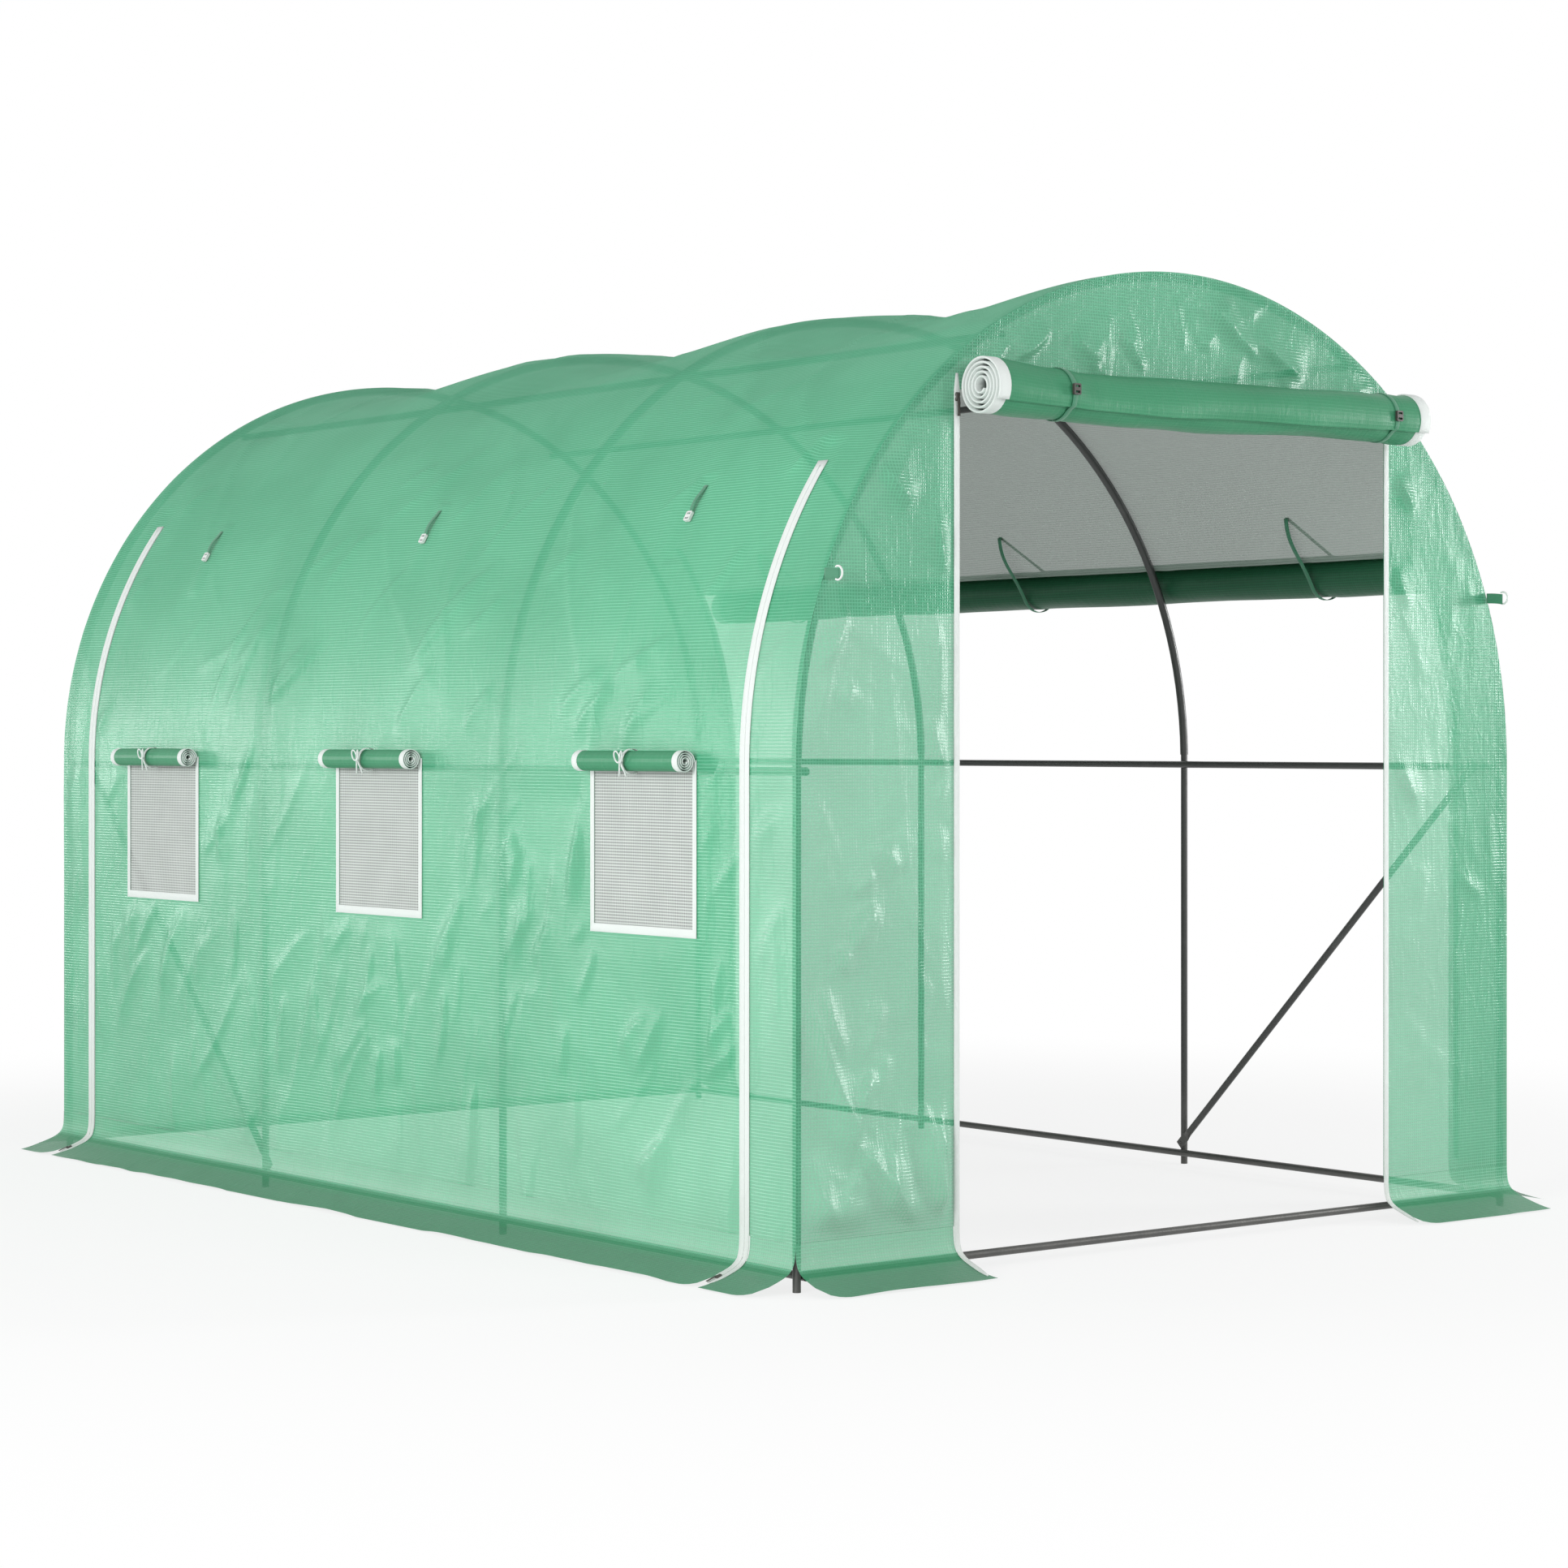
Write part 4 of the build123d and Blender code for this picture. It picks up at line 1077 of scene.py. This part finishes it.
# %% Curtain and flap rolls
side_roll_at = np.array([0.9622, 0.0, 1.4057])
side_roll_length = 2.643
side_axes = (0, 1, 0), (1, 0, 0), (0, 0, 1)
hem_x = radius * math.cos(header_end) - side_roll_at[0]
hem_z = spring + radius * math.sin(header_end) - side_roll_at[2]
angle, reach = roll_piece(
    "right_curtain_roll_sheet", side_roll_at, side_axes, length=side_roll_length - 0.03, eye=0.010,
    pitch=0.0080, turns=5, start_turn=1.852, lump=0.0022, seed=81, nodes=["right_curtain_roll"],
    tied=strap_places, hung_from=(hem_x, hem_z),
)
roll_rims("right_curtain_roll", ("front", "back"), side_roll_at, side_axes,
          side_roll_length / 2 - rim_inset, angle, reach, thick=0.005, wide=0.033)

flap_reach = 0.02385
flap_x, flap_z = -1.0290, 0.987
flap_axes = (0, 1, 0), (-1, 0, 0), (0, 0, 1)
for number, middle_y in enumerate(window_middles, 1):
    at = np.array([flap_x, middle_y, flap_z])
    angle, reach = roll_piece(
        f"window_flap_roll_{number}", at, flap_axes, length=2 * window_half - 0.03, eye=0.0045,
        pitch=0.0045, turns=4, start_turn=math.pi, lump=0.0010, seed=90 + number,
        nodes=["window_flap_rolls"],
    )
    roll_rims(f"window_flap_{number}", ("front", "back"), at, flap_axes, window_half - 0.009,
              angle, reach, thick=0.0015, wide=0.018)


# %% [markdown]
# ## Windows, zips and ties
# Each window is a net behind a white tape border. A zip is white tape with a coil down the middle
# and a small slider, and its tail runs out along the skirt. The ties are tape with a bow. All of it
# could be cut from the cover's mesh, but a section swept along a line keeps its width in a bend.


# %% Windows
def frame_mesh(name, x, y, half, low, high, width, thick):
    """A mitred tape border round a window, a closed ring with a section like tape."""
    corners = [(y - half, low), (y + half, low), (y + half, high), (y - half, high)]
    section = band_section(width, thick)
    points, faces, flats = [], [], []
    middle = np.array([y, (low + high) / 2])
    for a, b in corners:
        sign = np.sign(np.array([a, b]) - middle)
        tall = 1.3 if b == low else 1.0
        for w, t in section:
            inwards = width / 2 - w
            points.append((x - t, a - sign[0] * inwards, b - sign[1] * inwards * tall))
            flats.append((w, a + b))
    ring = len(section)
    for k in range(4):
        near, far = k * ring, (k + 1) % 4 * ring
        for c in range(ring):
            d = (c + 1) % ring
            faces.append((near + c, near + d, far + d, far + c))
    return mesh_of(name, points, faces, flats, closed=True)


frame_x, frame_width, frame_thick = -1.0026, 0.013, 0.0016
for number, middle_y in enumerate(window_middles, 1):
    name = f"window_frame_{number}"
    mesh = frame_mesh(name, frame_x, middle_y, window_half, window_low, window_high,
                      frame_width, frame_thick)
    piece(name, mesh, white_tape, "white_tape", "window_frames")
    half, low, high = window_half - hem, window_low + hem, window_high - hem
    y, z = np.meshgrid(np.linspace(middle_y - half, middle_y + half, 30),
                       np.linspace(low, high, 28), indexing="ij")
    over, up = (y - middle_y + half) / (2 * half), (z - low) / (high - low)
    belly = 0.004 * np.sin(over * math.pi) * np.sin(up * math.pi)
    mesh = grid_mesh(f"window_net_{number}", np.stack([-radius + belly, y, z], -1),
                     np.stack([y, z], -1), flip=True)
    made = piece(f"window_net_{number}", mesh, net_finish, "window_net", "window_nets")
    cut_size(mesh)[0]
print("windows:", len(window_middles))


# %% Zips
along_y = np.array([0.0, 1.0, 0.0])


def zip_line(side, y, low, high, lift, step=0.02):
    """A line up the wall and round the arch, with its outward direction."""
    rise = marks(low, high, step, wall_rise)
    angle = tunnel_angle(rise)
    out = np.stack([side * np.cos(angle), np.zeros_like(angle), np.sin(angle)], -1)
    up = np.where(rise < wall_rise, foot + rise, spring + (radius + lift) * np.sin(angle))
    return np.stack([side * (radius + lift) * np.cos(angle), np.full_like(angle, y), up], -1), out


def tail_line(base, outward, reach, lift):
    """A line from the wall's foot along the skirt's curve, out to a share of its reach."""
    run = np.linspace(0, reach * skirt_drop, 16)
    flat = np.interp(run, flare_run, flare_out)
    high = np.interp(run, flare_run, flare_high)
    slope, fall = np.gradient(flat), np.gradient(high)
    size = np.hypot(slope, fall)
    outward = np.array(outward, float)
    out = outward * (-fall / size)[:, None]
    out[:, 2] = slope / size
    line = np.array(base, float) + outward * flat[:, None]
    line[:, 2] = high
    return line + out * lift, out


def with_tail(line, out, tail, tail_out):
    """A zip's line and directions with its tail joined on below."""
    return np.concatenate([tail[:0:-1], line]), np.concatenate([tail_out[:0:-1], out])


def pull(name, place, ahead, out, size=1.0):
    """A zip slider: a waisted body and a flat tab that hangs from it."""
    place, ahead, out = (np.array(v, float) for v in (place, ahead, out))
    across = np.cross(ahead, out)
    for part, start, end, width, thick, lift, shape in (
        ("body", -0.007, 0.007, 0.010, 0.0045, 0.0015, (0.75, 1, 0.7, 1, 0.85)),
        ("tab", 0.003, 0.031, 0.0065, 0.0016, 0.0046, (0.6, 1, 0.8, 0.8, 1)),
    ):
        t = np.linspace(start, end, 5) * size
        strip(f"{name}_{part}", place + ahead * t[:, None] + out * lift * size, across, out,
              band_section(width * size, thick * size), dark_plastic, "dark_plastic", widths=shape)


zip_reach, zip_taper = 0.86, (0.3, 0.62, 0.86, 0.97)
zip_parts = (
    ("tape", 0.0021, band_section(0.030, 0.0015), 0.0, ["side_zip_tapes"]),
    ("coil", 0.0031, round_section(0.0036, 0.0016), 0.1, []),
)
for side_name, side in (("left", -1), ("right", 1)):
    for end_name, sign in (("front", -1), ("back", 1)):
        y = sign * zip_y
        at_wall = (side * radius, y, 0)
        for part, lift, section, short, nodes in zip_parts:
            tail = tail_line(at_wall, (side, 0, 0), zip_reach - short, lift)
            line, out = with_tail(*zip_line(side, y, 0, roof_low - 0.12 * short, lift), *tail)
            widths = np.ones(len(line))
            if part == "tape":
                widths[:4] = zip_taper
            strip(f"{side_name}_{end_name}_zip_{part}", line, along_y, out, section,
                  white_tape, "white_tape", *nodes, widths=widths)
        tail, tail_out = tail_line(at_wall, (side, 0, 0), 0.70, 0.003)
        ahead = tail[-1] - tail[-3]
        pull(f"{side_name}_{end_name}_zip_pull", tail[-1], ahead / np.linalg.norm(ahead),
             tail_out[-1], 0.9)

# %% Door zips
door_zip_x, door_zip_y, door_zip_top = 0.6073, -1.4936, 1.736
for side_name, side in (("left", -1), ("right", 1)):
    heights = marks(foot, door_zip_top, 0.03)
    line = np.stack([np.full_like(heights, side * door_zip_x), np.full_like(heights, door_zip_y),
                     heights], -1)
    tail = tail_line((side * door_zip_x, -end_y, 0), (0, -1, 0), 0.9, 0.0021)
    line, out = with_tail(line, np.broadcast_to(-along_y, line.shape), *tail)
    widths = np.ones(len(line))
    widths[:4] = (0.3, 0.6, 0.85, 0.97)
    widths[-1] = 0.4
    strip(f"door_{side_name}_zip_tape", line, (1, 0, 0), out, band_section(0.014, 0.0015),
          white_tape, "white_tape", "door_zip_tapes", widths=widths)
pull("door_left_zip_pull", (-door_zip_x, door_zip_y - 0.0009, 1.690), (0, 0, -1), -along_y, 1.2)
print("zips: 4 side, 2 door")


# %% Door roll straps
def loop_line(centre, side, reach, start, end, steps=48):
    """Part of a circle that starts sideways and turns up, as points with their outward directions."""
    angle = np.linspace(math.radians(start), math.radians(end), steps)
    out = np.cos(angle)[:, None] * np.array(side, float)
    out[:, 2] = np.sin(angle)
    return np.array(centre, float) + reach * out, out


strap_section = band_section(0.012, 0.0012)
buckle_reach = 0.0568
low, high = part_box("door_roll_buckles")
buckle_y, buckle_z = (low.y + high.y) / 2, (low.z + high.z) / 2
for number, x in enumerate(door_strap_places, 1):
    centre = np.array([x, door_roll_at[1], door_roll_at[2] - float(door_sag(np.array(x)))])
    to_buckle = math.atan2(buckle_z - centre[2], buckle_y - centre[1])
    turn = np.linspace(0, math.tau, 73)[:-1]
    behind = (door_angle[-1] - turn) % math.tau
    grows = (door_reach[-1] - door_reach[0]) / (door_angle[-1] - door_angle[0])
    hug = door_reach[-1] - grows * behind + 0.0016
    hug = np.minimum(hug, np.roll(hug, 1) + 0.002)
    away = (turn - to_buckle + math.pi) % math.tau - math.pi
    hug = hug + (buckle_reach - hug) * np.exp(-(away / 0.3) ** 2)
    for _ in range(3):
        hug = np.maximum(hug, (np.roll(hug, 1) + np.roll(hug, -1)) / 2)
    out = np.stack([np.zeros_like(turn), np.cos(turn), np.sin(turn)], -1)
    strip(f"door_roll_strap_{number}", centre + out * hug[:, None], (1, 0, 0), out, strap_section,
          green_webbing, "green_webbing", "door_roll_straps", closed=True)

# %% Left wall straps
strap_turn = 34
strap_rise, strap_length = wall_rise + radius * math.radians(strap_turn), 0.088
for number, y in enumerate(strap_places, 1):
    rise = marks(strap_rise - strap_length, strap_rise, 0.008)
    angle = tunnel_angle(rise)
    lift = 0.0017 + 0.006 * np.sin((rise - rise[0]) / np.ptp(rise) * math.pi) ** 2
    out = np.stack([-np.cos(angle), np.zeros_like(angle), np.sin(angle)], -1)
    line = np.array([0, y, spring]) + (radius + lift)[:, None] * out
    strip(f"left_wall_strap_{number}", line, along_y, out, strap_section,
          green_webbing, "green_webbing", "left_wall_straps")


# %% Curtain roll straps
def tangent_angle(point, centre, reach, turn):
    """The angle, in degrees, where a line from the point touches the circle."""
    away = np.array(point) - np.array(centre)
    return math.degrees(math.atan2(away[1], away[0]) + turn * math.acos(reach / np.hypot(*away)))


def on_arch(reach):
    """Where a strap is sewn to the arch, as x and z."""
    turn = math.radians(strap_turn)
    return reach * math.cos(turn), spring + reach * math.sin(turn)


loop_reach = 0.05235
inner_top, outer_top = on_arch(0.9988), on_arch(1.0023)
roll_centre = (side_roll_at[0], side_roll_at[2])
near = tangent_angle(inner_top, roll_centre, loop_reach, 1)
far = tangent_angle(outer_top, roll_centre, loop_reach, -1) + 360
for number, y in enumerate(strap_places, 1):
    arc, _ = loop_line((roll_centre[0], y, roll_centre[1]), (1, 0, 0), loop_reach, near, far)
    share = np.linspace(0, 1, 12)[:-1, None]
    slack = np.array([inner_top[0], y, inner_top[1]]) * (1 - share) + arc[0] * share
    slack[:, 0] -= 0.011 * np.sin(share[:, 0] * math.pi) + 0.005 * np.sin(share[:, 0] * math.tau)
    line = np.concatenate([slack, arc, [(outer_top[0], y, outer_top[1])]])
    out = np.cross(headings(line), along_y)
    strip(f"curtain_roll_strap_{number}", line, along_y, out, strap_section,
          green_webbing, "green_webbing", "curtain_roll_straps")
print("straps: 2 door, 3 left wall, 3 right roll")


# %% Bows round the window rolls
def cord_piece(name, points, thick):
    """A bow's loop or tail: tape rolled up on itself, as a cord along a smooth line."""
    ahead = headings(points)
    across = np.cross(ahead, np.array([0.31, 0.19, 0.93]))
    across /= np.linalg.norm(across, axis=1)[:, None]
    strip(name, points, across, np.cross(across, ahead), round_section(thick, thick),
          white_tape, "white_tape")


for number, middle_y in enumerate(window_middles, 1):
    line, out = loop_line((flap_x, middle_y, flap_z), (-1, 0, 0), flap_reach + 0.0008, 0, 360, 49)
    strip(f"window_tie_{number}", line[:-1], along_y, out[:-1], band_section(0.009, 0.0012),
          white_tape, "white_tape", "window_ties", closed=True)
    knot = np.array([flap_x - flap_reach - 0.003, middle_y, flap_z + 0.004])
    for label, sign in (("front", -1), ("back", 1)):
        t = np.linspace(0, math.tau, 26)[:-1]
        loop = np.stack([-0.002 - 0.004 * np.sin(t / 2) ** 2, sign * 0.011 * (1 - np.cos(t)) / 2 * 1.2,
                         0.010 * np.sin(t) + 0.010 * (1 - np.cos(t)) / 2], -1)
        t = np.linspace(0, 1, 14)
        tail = np.stack([0.008 * t - 0.002, sign * 0.012 * t, -0.034 * t], -1)
        cord_piece(f"window_bow_{number}_{label}", knot + loop, 0.0032)
        cord_piece(f"window_bow_tail_{number}_{label}", knot + tail, 0.0034)

# %% Hook tabs
low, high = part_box("hook_tabs")
tab_width, tab_thick = 0.022, 0.0015
for side_name, side in (("left", -1), ("right", 1)):
    y = np.linspace(-1.4924, low.y, 12)
    droop = 0.003 * ((y - y[0]) / (y[-1] - y[0])) ** 2
    line = np.stack([np.full_like(y, side * (abs(low.x) - tab_thick / 2)), y,
                     (low.z + high.z) / 2 - droop], -1)
    strip(f"{side_name}_hook_tab", line, (0, 0, 1), (side, 0, 0), band_section(tab_width, tab_thick),
          green_webbing, "cover_cloth", "hook_tabs")

# %% [markdown]
# ## The steel and the small parts
# The tubes, buckles and hooks are hard and have a true size, so their CAD shapes are shown as they
# are. Modelling them again would only let them drift from the frame. They get their finish here.

# %% Finishes for the CAD pieces
finish_of_slot = {
    "frame_steel": tube_coat, "dark_plastic": dark_plastic, "white_plastic": white_plastic,
}
slot_of = {
    "left_wall_buckles": "white_plastic", "hooks": "white_plastic", "door_roll_buckles": "dark_plastic",
}
for name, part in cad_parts.items():
    if part.hide_render:
        continue
    slot_name = slot_of.get(name, "frame_steel")
    for index in range(len(part.material_slots)):
        part.material_slots[index].material = finish_of_slot[slot_name]
print("CAD pieces shown:", [n for n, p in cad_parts.items() if not p.hide_render])
